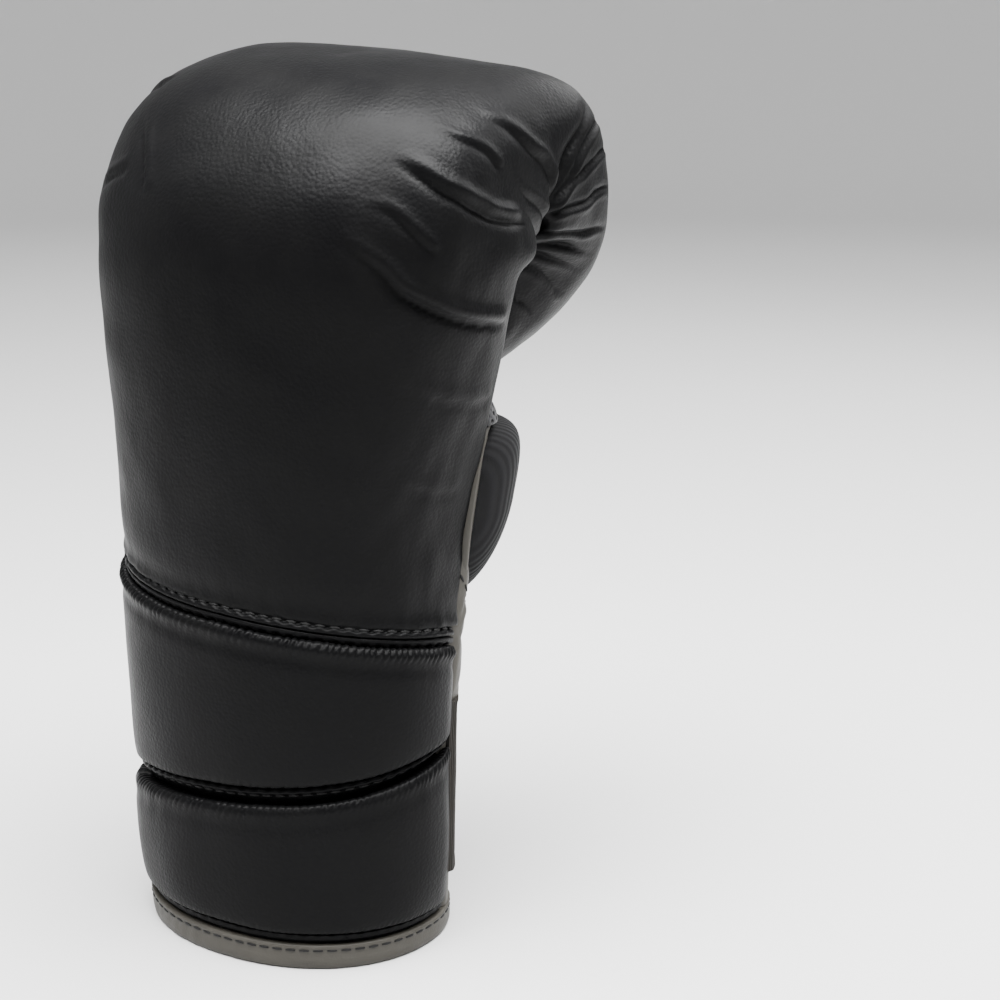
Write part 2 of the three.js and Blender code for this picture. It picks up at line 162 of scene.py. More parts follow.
# %% Sections of the pad
PAD = table(
    "y     z   tilt bend half side wrap thick edge shift round",
    [-42, 120.6, 0, 0, 58, 42, 100, 15, 6, 0, 0.94],
    [-45.5, 129, 0, 0, 60, 45.5, 100, 20, 7, 1.5, 0.94],
    [-48, 151, 0, 0, 61.5, 48, 100, 27, 8, 4, 0.92],
    [-50.5, 176, 0, 0, 64.5, 49, 102, 32, 9, 7.5, 0.9],
    [-52, 202, 0, 0, 66.5, 47, 107, 35, 10, 10.5, 0.87],
    [-52, 227, 7, 0, 67, 41, 113, 37, 11, 12.5, 0.84],
    [-46, 250, 28, 0, 66.5, 34, 117, 38, 11, 13, 0.8],
    [-28, 272, 56, 0, 66, 29, 121, 38, 11, 13, 0.76],
    [-1, 283, 80, 0, 65.5, 28, 125, 38, 11, 13.5, 0.74],
    [31, 285, 96, 0, 65, 29, 129, 38, 11, 14, 0.74],
    [65, 278, 118, 0, 64.5, 30, 133, 38, 11, 14, 0.74],
    [90, 259, 145, 0, 64, 32, 134, 37, 11, 13.5, 0.76],
    [102, 232, 171, 0, 62.5, 33, 137, 36, 11, 12, 0.8],
    [98, 203, 200, -15, 58.5, 33, 139, 34, 10, 9, 0.85],
    [81, 181, 232, -40, 51, 24, 126, 29, 9, 4, 0.9],
    [58, 173, 264, -62, 44, 14, 112, 17, 7, 1, 0.92],
)
LAST_ROW = len(PAD) - 1
SLANT_ROWS = 4
KNUCKLE_DROP = 6
SIDE_PADDING = 20


@functools.lru_cache(maxsize=None)
def pad_section(at):
    section = {field: along(PAD, field, at) for field in PAD[0]}
    section["wrap"] = math.radians(section["wrap"])
    section["slant"] = 1 - smoothstep(at, 0, SLANT_ROWS)
    section["drop"] = KNUCKLE_DROP * smoothstep(at, 4, 8) * (1 - smoothstep(at, 11, 14))
    return section


def place_in_section(section, side, x, depth):
    tilt = math.radians(section["tilt"] + section["bend"] * side**2)
    fall = depth + section["drop"] * x / section["half"]
    rise = section["slant"] * (upper_seam(side) - upper_seam(0))
    return Vector((
        section["shift"] + x,
        section["y"] + math.cos(tilt) * fall,
        section["z"] + rise - math.sin(tilt) * fall,
    ))


def pad_outer_source(side, at):
    section = pad_section(round(at, 4))
    turn = side * section["wrap"]
    x = section["half"] * power(math.sin(turn), section["round"])
    fall = 1 - power(math.cos(turn), section["round"])
    return place_in_section(section, side, x, section["side"] * fall)


def pad_inner_source(side, at):
    section = pad_section(round(at, 4))
    wrap = section["wrap"]
    seam_x = section["half"] * power(math.sin(wrap), section["round"]) - section["edge"]
    seam_depth = section["side"] * (1 - power(math.cos(wrap), section["round"]))
    swell = max(section["half"] - SIDE_PADDING - seam_x, 0)
    turn = side * math.pi / 2
    x = seam_x * power(math.sin(turn), section["round"]) + swell * math.sin(2 * turn)
    fall = 1 - power(math.cos(turn), section["round"])
    return place_in_section(section, side, x, lerp(section["thick"], seam_depth, fall))


# %% [markdown]
# The tables are in the pattern's own coordinates, and the loaded model stands in the middle
# of its outline. The shift between them is measured on the pad's solid.

# %% Shift from the pattern to the frame
SOLID_COLUMNS, SOLID_ROWS = 22, 34
low_corner = [
    min(
        face(2 * i / SOLID_COLUMNS - 1, LAST_ROW * j / SOLID_ROWS)[axis]
        for face in (pad_outer_source, pad_inner_source)
        for i in range(SOLID_COLUMNS + 1)
        for j in range(SOLID_ROWS + 1)
    )
    for axis in range(3)
]
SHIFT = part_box("back_pad")[0] / MM - Vector(low_corner)
print("pattern to frame, mm:", [round(value, 2) for value in SHIFT])


def skin(angle, z, lift=0):
    return skin_source(angle, z, lift) + SHIFT


# %% [markdown]
# ## Camera
# The glove stands in the left half of a square picture, seen a little from above and from
# its thumb side. The lens and the place were found by matching the outline of the hem.

# %% The camera
CAMERA = {"azimuth": 38.5, "pitch": 13.86, "height": 294, "distance": 616, "focal_px": 1950, "sees_to": 20}
PICTURE = 1000
CUFF_COLUMN = 287
SENSOR_MM = 36
hem_low, hem_high = (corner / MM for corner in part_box("hem_binding"))
cuff_middle = (hem_low + hem_high) / 2
azimuth, pitch = math.radians(CAMERA["azimuth"]), math.radians(CAMERA["pitch"])
eye = Vector((
    cuff_middle.x + CAMERA["distance"] * math.sin(azimuth),
    cuff_middle.y - CAMERA["distance"] * math.cos(azimuth),
    CAMERA["height"],
))
yaw = math.atan((PICTURE / 2 - CUFF_COLUMN) / CAMERA["focal_px"] / math.cos(pitch))
heading = azimuth - yaw
look = Vector((
    -math.sin(heading) * math.cos(pitch),
    math.cos(heading) * math.cos(pitch),
    -math.sin(pitch),
))
camera = add_object("camera", bpy.data.cameras.new("camera"))
camera.data.sensor_width = SENSOR_MM
camera.data.lens = CAMERA["focal_px"] / PICTURE * SENSOR_MM
camera.data.clip_end = CAMERA["sees_to"]
camera.location = eye * MM
camera.rotation_mode = "QUATERNION"
camera.rotation_quaternion = look.to_track_quat("-Z", "Y")
bpy.context.scene.camera = camera
print("lens, mm:", round(camera.data.lens, 1))

# %% [markdown]
# ## From a flat grid to a sewn piece
# Every piece of a glove is cut flat and then bent. The grids here are made the same way: a
# flat grid of faces is laid onto a surface, and each point remembers its place in the flat.

# %% Grids
def new_grid(columns, rows):
    """A flat grid from 0 to 1 both ways, with its UV map."""
    mesh = bmesh.new()
    mesh.loops.layers.uv.new("UVMap")
    bmesh.ops.create_grid(mesh, x_segments=columns, y_segments=rows, size=0.5, calc_uvs=True)
    bmesh.ops.translate(mesh, verts=mesh.verts, vec=(0.5, 0.5, 0))
    return mesh


def lay_out(mesh, place, relief=None):
    """Moves every point from (u, v) in the flat to place(u, v), in mm, and then by
    relief(u, v) mm along the surface's normal."""
    flat = [(vert, vert.co.x, vert.co.y) for vert in mesh.verts]
    for vert, u, v in flat:
        vert.co = place(u, v) * MM
    if relief:
        mesh.normal_update()
        moves = [(vert, vert.normal * (relief(u, v) * MM)) for vert, u, v in flat]
        for vert, move in moves:
            vert.co += move


def laid_grid(grid, place, relief=None):
    mesh = new_grid(*grid)
    lay_out(mesh, place, relief)
    return mesh


def spread(value, stops):
    """A share from 0 to 1, turned to a place by the (share, place) pairs in stops."""
    for (low, from_), (high, to) in zip(stops, stops[1:]):
        if value <= high:
            return lerp(from_, to, (value - low) / (high - low))
    return stops[-1][1]


# %% [markdown]
# A finished piece rides on the glove's one body, and the solids that it stands for are hidden.

# %% Finishing a piece
def smooth_object(name, mesh, materials):
    data = bpy.data.meshes.new(name)
    mesh.to_mesh(data)
    mesh.free()
    for material in materials:
        data.materials.append(material)
    data.polygons.foreach_set("use_smooth", [True] * len(data.polygons))
    return add_object(name, data)


def finish_piece(name, mesh, materials, replaces=None):
    piece = smooth_object(name, mesh, materials)
    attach(piece, "root")
    if replaces:
        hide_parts(*replaces)
    print(f"{name}: {len(piece.data.polygons)} faces")
    return piece


def run_length(line, steps=60):
    """Length of line(t) for t from 0 to 1, in metres."""
    points = [line(i / steps) for i in range(steps + 1)]
    return sum((b - a).length for a, b in zip(points, points[1:])) * MM


def drawn_size(place, widest=0.5):
    """Width and length of a strip as it was cut, in metres."""
    return run_length(lambda t: place(t, widest)), run_length(lambda t: place(0.5, t))


def surface_area(mesh):
    return sum(face.calc_area() for face in mesh.faces)


def declare_sheet(piece, flat, area=None):
    print(f"{piece.name}: cut to {flat[0] * 1000:.0f} x {flat[1] * 1000:.0f} mm")


# Thickness of the leather or cloth of each piece, in mm.
WALL = {
    "strip": 1.0, "palm": 1.4, "jersey": 0.8, "side": 1.2,
    "mesh": 0.9, "elastic": 1.5, "tab": 2.6, "loop": 1.0,
}
RIM_SEGMENTS, RIM_ANGLE = 2, 60


def add_wall(piece, thickness, rounding=0.0):
    """Leather or cloth of one thickness, inwards from the modelled face, with soft rims."""
    wall = piece.modifiers.new("wall", "SOLIDIFY")
    wall.thickness = thickness * MM
    wall.offset = -1
    if rounding:
        rim = piece.modifiers.new("rim", "BEVEL")
        rim.width = rounding * MM
        rim.segments = RIM_SEGMENTS
        rim.limit_method = "ANGLE"
        rim.angle_limit = math.radians(RIM_ANGLE)


def weld(mesh, reach=0.02):
    """Joins the points that lie within reach mm of each other."""
    bmesh.ops.remove_doubles(mesh, verts=mesh.verts, dist=reach * MM)


def open_edges(mesh):
    return [edge for edge in mesh.edges if edge.is_boundary]


# %% [markdown]
# Foam pads are closed. Their outer leather is a fine grid, and the lining towards the hand
# is a coarser one. The coarse grid's rim gets a point in the middle of each edge, so that
# both rims have the same number of points and can be bridged.

# %% Closed pads
def padded_form(columns, rows, outer, inner, relief):
    mesh = laid_grid((columns, rows), outer, relief)
    lining = laid_grid((columns // 2, rows // 2), inner)
    bmesh.ops.subdivide_edges(lining, edges=open_edges(lining), cuts=1)
    bmesh.ops.reverse_faces(lining, faces=lining.faces)
    for face in lining.faces:
        face.material_index = 1
    carrier = bpy.data.meshes.new("carrier")
    lining.to_mesh(carrier)
    lining.free()
    mesh.from_mesh(carrier)
    bpy.data.meshes.remove(carrier)
    bmesh.ops.bridge_loops(mesh, edges=open_edges(mesh))
    print("open edges left:", len(open_edges(mesh)))
    return mesh


# %% [markdown]
# ## Stitches
# A lockstitch shows as a row of short threads, each pressed into the leather at its ends.
# One small rounded body is repeated along a line on the surface, at the real stitch length.

# %% Rows of stitches
STITCH = {"pitch": 4.5, "length": 3.8, "width": 0.95, "height": 0.7}
STITCH_SIDES, STITCH_RINGS = 6, 5


def stitch_spots(place, line, samples=600):
    """The values of t where stitches sit, at even distances along line(t), which gives
    (u, v) on the surface for t from 0 to 1."""
    points = [place(*line(i / samples)) for i in range(samples + 1)]
    travelled, next_at, spots = 0.0, STITCH["pitch"] / 2, []
    for i in range(samples):
        run = (points[i + 1] - points[i]).length
        if travelled + run >= next_at:
            spots.append((i + (next_at - travelled) / run) / samples)
            next_at += STITCH["pitch"]
        travelled += run
    return spots


def pulled_in(spots, t):
    """1 where the thread goes down between two stitches, 0 in the middle of a stitch."""
    i = bisect.bisect(spots, t)
    if i in (0, len(spots)):
        return 0.5
    return math.sin(math.pi * (t - spots[i - 1]) / (spots[i] - spots[i - 1])) ** 2


def stitch_line(mesh, place, line, relief=None, step=0.002):
    spots = stitch_spots(place, line)
    for t in spots:
        u, v = line(t)
        across = place(u + step, v) - place(u - step, v)
        up = place(u, v + step) - place(u, v - step)
        normal = across.cross(up).normalized()
        tangent = (place(*line(t + step)) - place(*line(t - step))).normalized()
        axes = Matrix((
            tangent * STITCH["length"] * MM,
            normal.cross(tangent).normalized() * STITCH["width"] * MM,
            normal * STITCH["height"] * MM,
        )).transposed().to_4x4()
        seat = Matrix.Translation((place(u, v) + normal * (relief(u, v) if relief else 0)) * MM)
        bmesh.ops.create_uvsphere(
            mesh, u_segments=STITCH_SIDES, v_segments=STITCH_RINGS, radius=0.5, matrix=seat @ axes,
        )
    return len(spots)


def stitching(name, rows):
    """One piece for all rows of a seam. rows holds (place, line) or (place, line, relief)."""
    mesh = bmesh.new()
    total = sum(stitch_line(mesh, *row) for row in rows)
    print(f"{name}: {total} stitches")
    finish_piece(name, mesh, [thread])


# %% [markdown]
# ## Finishes
# A finish is a small set of nodes. Colours are written as a painter would pick them from a
# screen, in sRGB, and turned to the linear values that light adds up in.

# %% Colour and node helpers
def linear(colour):
    """An sRGB hex colour as linear red, green, blue and alpha."""
    parts = [int(colour[i:i + 2], 16) / 255 for i in (1, 3, 5)]
    return [*(part / 12.92 if part < 0.04045 else ((part + 0.055) / 1.055) ** 2.4 for part in parts), 1]


def new_finish(name):
    """A material with its surface shader, ready for more nodes."""
    finish = bpy.data.materials.new(name)
    finish.use_nodes = True
    return finish, finish.node_tree.nodes["Principled BSDF"]


def add_node(finish, kind, settings=None, inputs=None):
    """Adds a node. settings are its fields, inputs its sockets: a value, or another node's
    output to link."""
    node = finish.node_tree.nodes.new(kind)
    for field, value in (settings or {}).items():
        setattr(node, field, value)
    fill(finish, node, inputs or {})
    return node


def fill(finish, node, inputs):
    for name, value in inputs.items():
        if isinstance(value, bpy.types.NodeSocket):
            finish.node_tree.links.new(value, node.inputs[name])
        else:
            node.inputs[name].default_value = value


def per_mm(size):
    """A pattern's scale for features of a size in mm, in a model that is in metres."""
    return 1 / (size * MM)


def add_noise(finish, place, size, detail, roughness):
    return add_node(
        finish, "ShaderNodeTexNoise", None,
        {"Vector": place, "Scale": per_mm(size), "Detail": detail, "Roughness": roughness},
    ).outputs["Fac"]


def add_mix(finish, factor, low, high):
    return add_node(
        finish, "ShaderNodeMix", {"data_type": "RGBA"},
        {"Factor": factor, "A": linear(low), "B": linear(high)},
    ).outputs[2]


def add_bump(finish, height, strength, depth, below=None, invert=False):
    """A bump of a depth in mm, on top of the bump below it."""
    inputs = {"Height": height, "Strength": strength, "Distance": depth * MM}
    if below is not None:
        inputs["Normal"] = below
    return add_node(finish, "ShaderNodeBump", {"invert": invert}, inputs).outputs["Normal"]


# %% [markdown]
# The glove's black leather is synthetic: a smooth coat on cloth, pressed with a grain of
# small rounded cells. The cells break up the wide highlight of the coat, so the eye sees
# satin instead of plastic. A softer, larger noise stands for wear and for the foam beneath.

# %% Leather finishes
WEAR_SIZE = 18


def pressed_leather(name, colour, worn, cell, depth, roughness, shine):
    finish, surface = new_finish(name)
    place = add_node(finish, "ShaderNodeTexCoord").outputs["Object"]
    cells = add_node(
        finish, "ShaderNodeTexVoronoi", {"feature": "SMOOTH_F1"},
        {"Vector": place, "Scale": per_mm(cell), "Smoothness": 0.35, "Randomness": 0.9},
    )
    pores = add_noise(finish, place, cell * 0.6, 3.0, 0.6)
    wear = add_noise(finish, place, WEAR_SIZE, 4.0, 0.55)
    tint = add_mix(finish, wear, colour, worn)
    gloss = add_node(
        finish, "ShaderNodeMapRange", None,
        {"Value": wear, "From Min": 0.3, "From Max": 0.7,
         "To Min": roughness - 0.04, "To Max": roughness + 0.06},
    )
    grain = add_bump(finish, cells.outputs["Distance"], 0.55, depth, invert=True)
    fine = add_bump(finish, pores, 0.5, depth * 0.7, grain)
    fill(finish, surface, {
        "Base Color": tint,
        "Roughness": gloss.outputs["Result"],
        "Normal": fine,
        "Specular IOR Level": shine,
    })
    return finish


black_leather = pressed_leather(
    "black_leather_pressed", "#060607", "#0a0a0a", cell=1.25, depth=0.15, roughness=0.4, shine=0.043,
)
grey_leather = pressed_leather(
    "grey_leather_pressed", "#302e2a", "#3c3a35", cell=0.9, depth=0.08, roughness=0.46, shine=0.16,
)

# %% [markdown]
# Cloth parts scatter light from many fibres. Elastic, jersey, loop pile, lining, mesh yarn
# and thread share one recipe that is dull, with a fine rib that follows the piece's own UV
# map. The table gives the number of ribs over the map and their depth in mm.

# %% Cloth finishes
FIBRE_SIZE, FIBRE_HEIGHT = 0.7, 0.15


def ribbed_cloth(name, dark, light, ribs, depth, roughness, sheen):
    finish, surface = new_finish(name)
    coords = add_node(finish, "ShaderNodeTexCoord")
    rib = add_node(
        finish, "ShaderNodeTexWave",
        {"wave_type": "BANDS", "bands_direction": "X", "wave_profile": "SIN"},
        {"Vector": coords.outputs["UV"], "Scale": ribs * math.pi / 10, "Distortion": 0.15, "Detail": 1.0},
    )
    fibre = add_noise(finish, coords.outputs["Object"], FIBRE_SIZE, 3.0, 0.7)
    ridges = add_bump(finish, rib.outputs["Fac"], 0.8, depth)
    fill(finish, surface, {
        "Base Color": add_mix(finish, rib.outputs["Fac"], dark, light),
        "Roughness": roughness,
        "Normal": add_bump(finish, fibre, 0.6, FIBRE_HEIGHT, ridges),
        "Specular IOR Level": 0.25,
        "Sheen Weight": sheen,
        "Sheen Roughness": 0.45,
    })
    return finish


elastic_weave, jersey_knit, loop_pile, lining_cloth, spacer_yarn, thread = (
    ribbed_cloth(*row) for row in (
        ("elastic_woven", "#0c0a08", "#25211c", 95, 0.35, 0.85, 0.0),
        ("jersey_knitted", "#060607", "#0d0d0f", 120, 0.2, 0.9, 0.02),
        ("loop_pile", "#0e0e0f", "#202022", 30, 0.4, 0.95, 0.3),
        ("lining_woven", "#0b0b0c", "#131315", 150, 0.1, 0.8, 0.0),
        ("spacer_knit", "#0d0d0f", "#1b1b1e", 40, 0.15, 0.7, 0.1),
        # The thread is black thread, and its colour is also set darker than the leather's as painted shade
        # of the holes that the stitches sit in.
        ("thread_twisted_painted_shade", "#040404", "#0c0c0d", 8, 0.1, 0.7, 0.0),
    )
)

# %% [markdown]
# ## The padded back
# The real cover is one panel of leather over thick foam. It is sewn flat and then bent over
# the knuckles, so it has too much leather at the ends of the roll, and that falls into
# pleats. The form is the solid's own surface, made finer, with a few broad corrections that
# the photograph shows. Each one is a soft hill with a middle and a reach.

# %% Shape of the cover
SWELLS = table(
    "side  at   reach_side reach_at x   y    z",
    [-0.45, 6.8, 0.35, 1.6, 2.0, 2.0, -2.5],
    [0.42, 9.9, 0.26, 1.2, 3.0, 0.0, 7.0],
    [0.6, 14.0, 0.45, 1.0, 0.0, 0.0, 4.5],
    [0.85, 12.9, 0.22, 0.9, 0.0, 0.0, 5.0],
    [0.85, 2.0, 0.3, 1.7, -3.5, 0.0, 0.0],
    [-0.75, 4.0, 0.4, 2.4, -2.4, 0.0, 0.0],
    [0.5, -0.1, 0.8, 0.45, 0.0, 0.0, -1.6],
)
EDGE_PULL = table(
    "at   reach x    y    z",
    [7.2, 1.7, 1.0, 17.0, 1.0],
    [6.3, 1.4, 4.0, 6.0, -2.0],
    [8.6, 0.9, 1.0, 2.0, -5.0],
    [10.6, 1.3, 3.0, -7.0, 2.0],
)


def pad_cover(side, at):
    """A point of the cover's outer face, in mm."""
    point = pad_outer_source(side, at) + SHIFT
    for swell in SWELLS:
        share = hill(side, swell["side"], swell["reach_side"]) * hill(at, swell["at"], swell["reach_at"])
        point += share * Vector((swell["x"], swell["y"], swell["z"]))
    near_edge = smoothstep(side, 0.7, 0.97)
    if near_edge:
        for pull in EDGE_PULL:
            share = near_edge * hill(at, pull["at"], pull["reach"])
            point += share * Vector((pull["x"], pull["y"], pull["z"]))
    return point


def pad_lining(side, at):
    """A point of the face towards the hand. Its rim goes along with the cover's."""
    point = pad_inner_source(side, at) + SHIFT
    near_edge = smoothstep(abs(side), 0.8, 1)
    if near_edge:
        end = math.copysign(1, side)
        point += near_edge * (pad_cover(end, at) - pad_outer_source(end, at) - SHIFT)
    return point


# %% [markdown]
# Folds are drawn as paths on the cover, given as pairs of side and row. A path's ridge
# stands up and its groove lies beside it, on the cuff's side. A deep groove without a ridge
# is a pleat. The paths come from the photograph, and the depths from how far each one
# shades: a fold that turns the surface by 20 degrees over 5 mm is about 1 mm high.

# %% The folds of the roll
FOLDS = table(
    "ridge groove width path",
    [0.0, 4.5, 4.0, [(0.38, 10.2), (0.57, 9.83), (0.68, 9.52), (0.79, 9.35), (0.9, 9.48), (1.0, 10.4)]],
    [1.6, 1.8, 2.6, [(0.36, 6.6), (0.444, 6.52), (0.594, 6.48), (0.756, 6.72), (0.86, 7.2)]],
    [1.5, 1.6, 2.4, [(0.28, 5.4), (0.344, 5.25), (0.438, 5.0), (0.506, 4.75), (0.675, 4.45), (0.812, 4.3),
                     (0.95, 4.2)]],
    [1.2, 1.2, 2.2, [(0.45, 7.95), (0.506, 8.05), (0.575, 8.25), (0.663, 8.58), (0.694, 8.9), (0.719, 9.12),
                     (0.781, 9.25), (0.881, 9.33)]],
    [0.9, 0.9, 2.0, [(0.7, 8.1), (0.763, 8.3), (0.8, 8.62), (0.844, 8.98), (0.9, 9.2)]],
    [0.5, 1.4, 1.7, [(0.42, 10.6), (0.5, 10.35), (0.65, 9.9), (0.812, 9.52)]],
    [0.5, 1.3, 1.5, [(0.46, 10.95), (0.52, 10.75), (0.656, 10.28), (0.719, 9.83), (0.838, 9.5)]],
    [0.6, 1.5, 1.6, [(0.53, 11.4), (0.6, 11.2), (0.7, 10.82), (0.794, 10.23), (0.888, 9.6)]],
    [0.6, 1.5, 1.6, [(0.55, 12.1), (0.65, 12.0), (0.763, 11.8), (0.944, 10.65)]],
    [0.6, 1.4, 1.6, [(0.6, 12.65), (0.7, 12.55), (0.8, 12.42), (0.931, 12.15)]],
    [0.5, 1.2, 1.5, [(0.6, 13.05), (0.775, 12.92), (0.906, 12.5)]],
    [0.5, 1.2, 1.5, [(0.62, 13.55), (0.713, 13.5), (0.894, 12.98)]],
    [0.4, 1.1, 1.4, [(0.76, 14.0), (0.869, 13.65), (0.93, 13.35)]],
    [0.7, 1.1, 2.2, [(-0.6, 7.6), (-0.5, 7.55), (-0.406, 7.52), (-0.33, 7.45)]],
    [0.7, 1.1, 2.2, [(-0.58, 6.1), (-0.48, 6.15), (-0.394, 6.18), (-0.3, 6.2)]],
    [0.6, 0.8, 2.0, [(-0.34, 6.95), (-0.27, 6.6), (-0.22, 6.2), (-0.19, 5.8)]],
    [0.7, 0.8, 2.0, [(0.34, 5.9), (0.43, 5.85), (0.52, 5.6), (0.6, 5.35)]],
    [0.6, 0.7, 1.8, [(0.4, 7.2), (0.5, 7.3), (0.62, 7.6), (0.7, 7.75)]],
    [0.5, 0.7, 2.4, [(0.55, 3.6), (0.7, 3.4), (0.85, 3.3), (0.97, 3.25)]],
    [0.4, 0.6, 2.4, [(0.6, 2.5), (0.75, 2.35), (0.9, 2.3)]],
)
FOLD_STEPS = 70


def fold_samples(path):
    """Points along a path on the cover, the direction across it, and how much is left of
    the fold there, as it fades out at both ends."""
    last = len(path) - 1
    rows = [{"side": side, "at": at} for side, at in path]

    def on_path(t):
        return along(rows, "side", t), along(rows, "at", t)

    places = []
    for i in range(FOLD_STEPS + 1):
        t = last * i / FOLD_STEPS
        side, at = on_path(t)
        point = pad_cover(side, at)
        tangent = pad_cover(*on_path(t + 0.02)) - pad_cover(*on_path(t - 0.02))
        outwards = (pad_cover(side + 0.01, at) - point).cross(pad_cover(side, at + 0.05) - point)
        across = outwards.cross(tangent).normalized()
        share = t / last
        places.append((point, across, smoothstep(share, -0.02, 0.5) * (1 - smoothstep(share, 0.88, 1.02))))
    return places


fold_tree = KDTree(len(FOLDS) * (FOLD_STEPS + 1))
fold_places = []
for number, fold in enumerate(FOLDS):
    for point, across, strength in fold_samples(fold["path"]):
        fold_tree.insert(point, len(fold_places))
        fold_places.append((number, across, strength))
fold_tree.balance()
FOLD_REACH = 10
FOLD_END_FADE = 3
print("folds:", len(FOLDS))


def fold_relief(point):
    """Height of all folds at a point, in mm."""
    nearest = {}
    for place, index, distance in fold_tree.find_range(point, FOLD_REACH):
        number = fold_places[index][0]
        if number not in nearest or distance < nearest[number][0]:
            nearest[number] = (distance, index, place)
    height = 0
    for number, (distance, index, place) in nearest.items():
        fold = FOLDS[number]
        _, across, strength = fold_places[index]
        offset = (point - place).dot(across)
        beyond = math.sqrt(max(distance ** 2 - offset ** 2, 0))
        strength *= hill(beyond, 0, FOLD_END_FADE)
        width = fold["width"]
        middle = -width * 0.6 if fold["ridge"] else 0
        crease = 0.6 * hill(offset, middle, width * 0.8) + 0.4 * hill(offset, middle, width * 0.3)
        ridge = hill(offset, width * 0.6, width * 0.9)
        height += strength * (fold["ridge"] * ridge - fold["groove"] * crease)
    return height


# %% [markdown]
# Between the folds the leather is never quite even. A slow noise bends it, a faster one
# puckers it close to the seams, and the edge over the first seam is rolled under.

# %% Unevenness and the cover's grid
COVER_COLUMNS, COVER_ROWS = 210, 300
COVER_SIDES = [(0, -1), (0.38, 0), (1, 1)]
COVER_AT = [(0, -0.2), (0.06, 0.5), (0.24, 4), (0.86, 13.6), (1, 15)]


def cover_at(u, v):
    return spread(u, COVER_SIDES), spread(v, COVER_AT)


def cover_relief(u, v):
    side, at = cover_at(u, v)
    point = pad_cover(side, at)
    height = 1.1 * noise.noise(point / 55) + 0.35 * noise.noise(point / 17)
    lively = 0.3 + smoothstep(abs(side), 0.3, 0.8)
    height += 0.28 * lively * noise.noise(Vector((point.x / 7, point.y / 7, point.z / 11)))
    from_seam = max(at, 0) * 9
    height += 0.45 * math.exp(-from_seam / 5) * noise.noise(Vector((point.x / 4, point.y / 4, 0)))
    height += 1.9 * hill(at, 0.12, 0.4) - 2.4 * (1 - smoothstep(at, -0.2, 0.02))
    return height + fold_relief(point)


pad_mesh = padded_form(
    COVER_COLUMNS, COVER_ROWS,
    lambda u, v: pad_cover(*cover_at(u, v)),
    lambda u, v: pad_lining(*cover_at(u, v)),
    cover_relief,
)
padded_back = finish_piece(
    "padded_back", pad_mesh, [black_leather, lining_cloth], ["back_pad"],
)

# %% [markdown]
# ## The wrist bands
# Two narrower pads run round the back of the wrist. Each is a cushion: its section goes past
# a half circle at both edges, so it hangs a little over the seam below it. The seam pulls
# the leather of the upper edge into small gathers.

# %% Cushions of the wrist
BAND = {"thick": 11, "edge": 6, "wrap": 100}
HEM_HEIGHT, PIPING_HEIGHT, GAP = 8.5, 3, 0.5
BAND_FOOT = HEM_HEIGHT + PIPING_HEIGHT + 2 * GAP
PAST_HALF = math.radians(112)
PUFF, CROWN = 2.4, 0.62
BAND_LENGTH = 230
BAND_GRID = (560, 48)


# The strips show from above the line of their seam to below it, in mm. The upper one is
# wider at the thumb's side, the lower one in the middle.
def upper_strip_above(side):
    return 3.9 - 1.5 * hill(side, 0.5, 0.8)


def upper_strip_below(side):
    return lerp(2.4, 3.6, (side + 1) / 2)


def lower_strip_above(side):
    return 4.4


def lower_strip_below(side):
    return 2.2 - 1.6 * side ** 2


PUCKER = {"pitch": 2.9, "height": 0.6, "reach": 5.5}
BEAD = {"from_edge": 2.2, "half": 1.5, "height": 0.7, "groove": 0.4}


def cushion(low, high, seed, bead):
    """place and relief functions of one band between two lines of height. bead is how much
    its upper edge is drawn up into a puckered bead."""
    def place(u, v):
        side = 2 * u - 1
        turn = lerp(-PAST_HALF, PAST_HALF, v)
        middle, half = (low(side) + high(side)) / 2, (high(side) - low(side)) / 2
        flat_end = 1 - side ** 8
        depth = power(math.cos(turn), 0.55 if math.cos(turn) > 0 else 1)
        lift = PUFF * depth * lerp(0.35, 1, flat_end) if depth > 0 else 6 * depth
        return skin(side * BAND["wrap"], middle + half * power(math.sin(turn), CROWN), lift)

    def relief(u, v):
        side = 2 * u - 1
        turn = lerp(-PAST_HALF, PAST_HALF, v)
        run = side * BAND_LENGTH / 2
        half = (high(side) - low(side)) / 2
        under_top = half * (1 - power(math.sin(turn), CROWN))
        over_foot = 2 * half - under_top
        warp = 1.6 * noise.noise(Vector((run / 7, seed, 0)))
        ruffle = abs(math.sin(math.pi * (run + 0.6 * under_top + warp) / PUCKER["pitch"])) - 0.6
        ruffle *= PUCKER["height"] * (0.8 + 0.8 * noise.noise(Vector((run / 9, seed + 3, 0))))
        at_top = bead * (1 - smoothstep(under_top, 1.5, PUCKER["reach"]))
        at_foot = 0.35 * (1 - smoothstep(over_foot, 0.5, 3))
        roll = bead * BEAD["height"] * hill(under_top, BEAD["from_edge"], BEAD["half"])
        roll -= bead * BEAD["groove"] * hill(under_top, 3 * BEAD["from_edge"], 1.3 * BEAD["half"])
        drawn_in = noise.noise(Vector((run / 8, seed + 5, under_top / 30)))
        drawn_in *= 1 - smoothstep(under_top, 2, 16)
        slow = noise.noise(Vector((run / 30, seed + 9, under_top / 25)))
        return ruffle * (at_top + at_foot) + roll + 0.3 * drawn_in + 0.5 * slow

    return place, relief


def band_inner(low, high):
    def place(u, v):
        side = 2 * u - 1
        depth = lerp(BAND["edge"], BAND["thick"], 1 - side ** 4)
        return skin(side * BAND["wrap"], lerp(low(side) + 1, high(side) - 1, v), -depth)

    return place


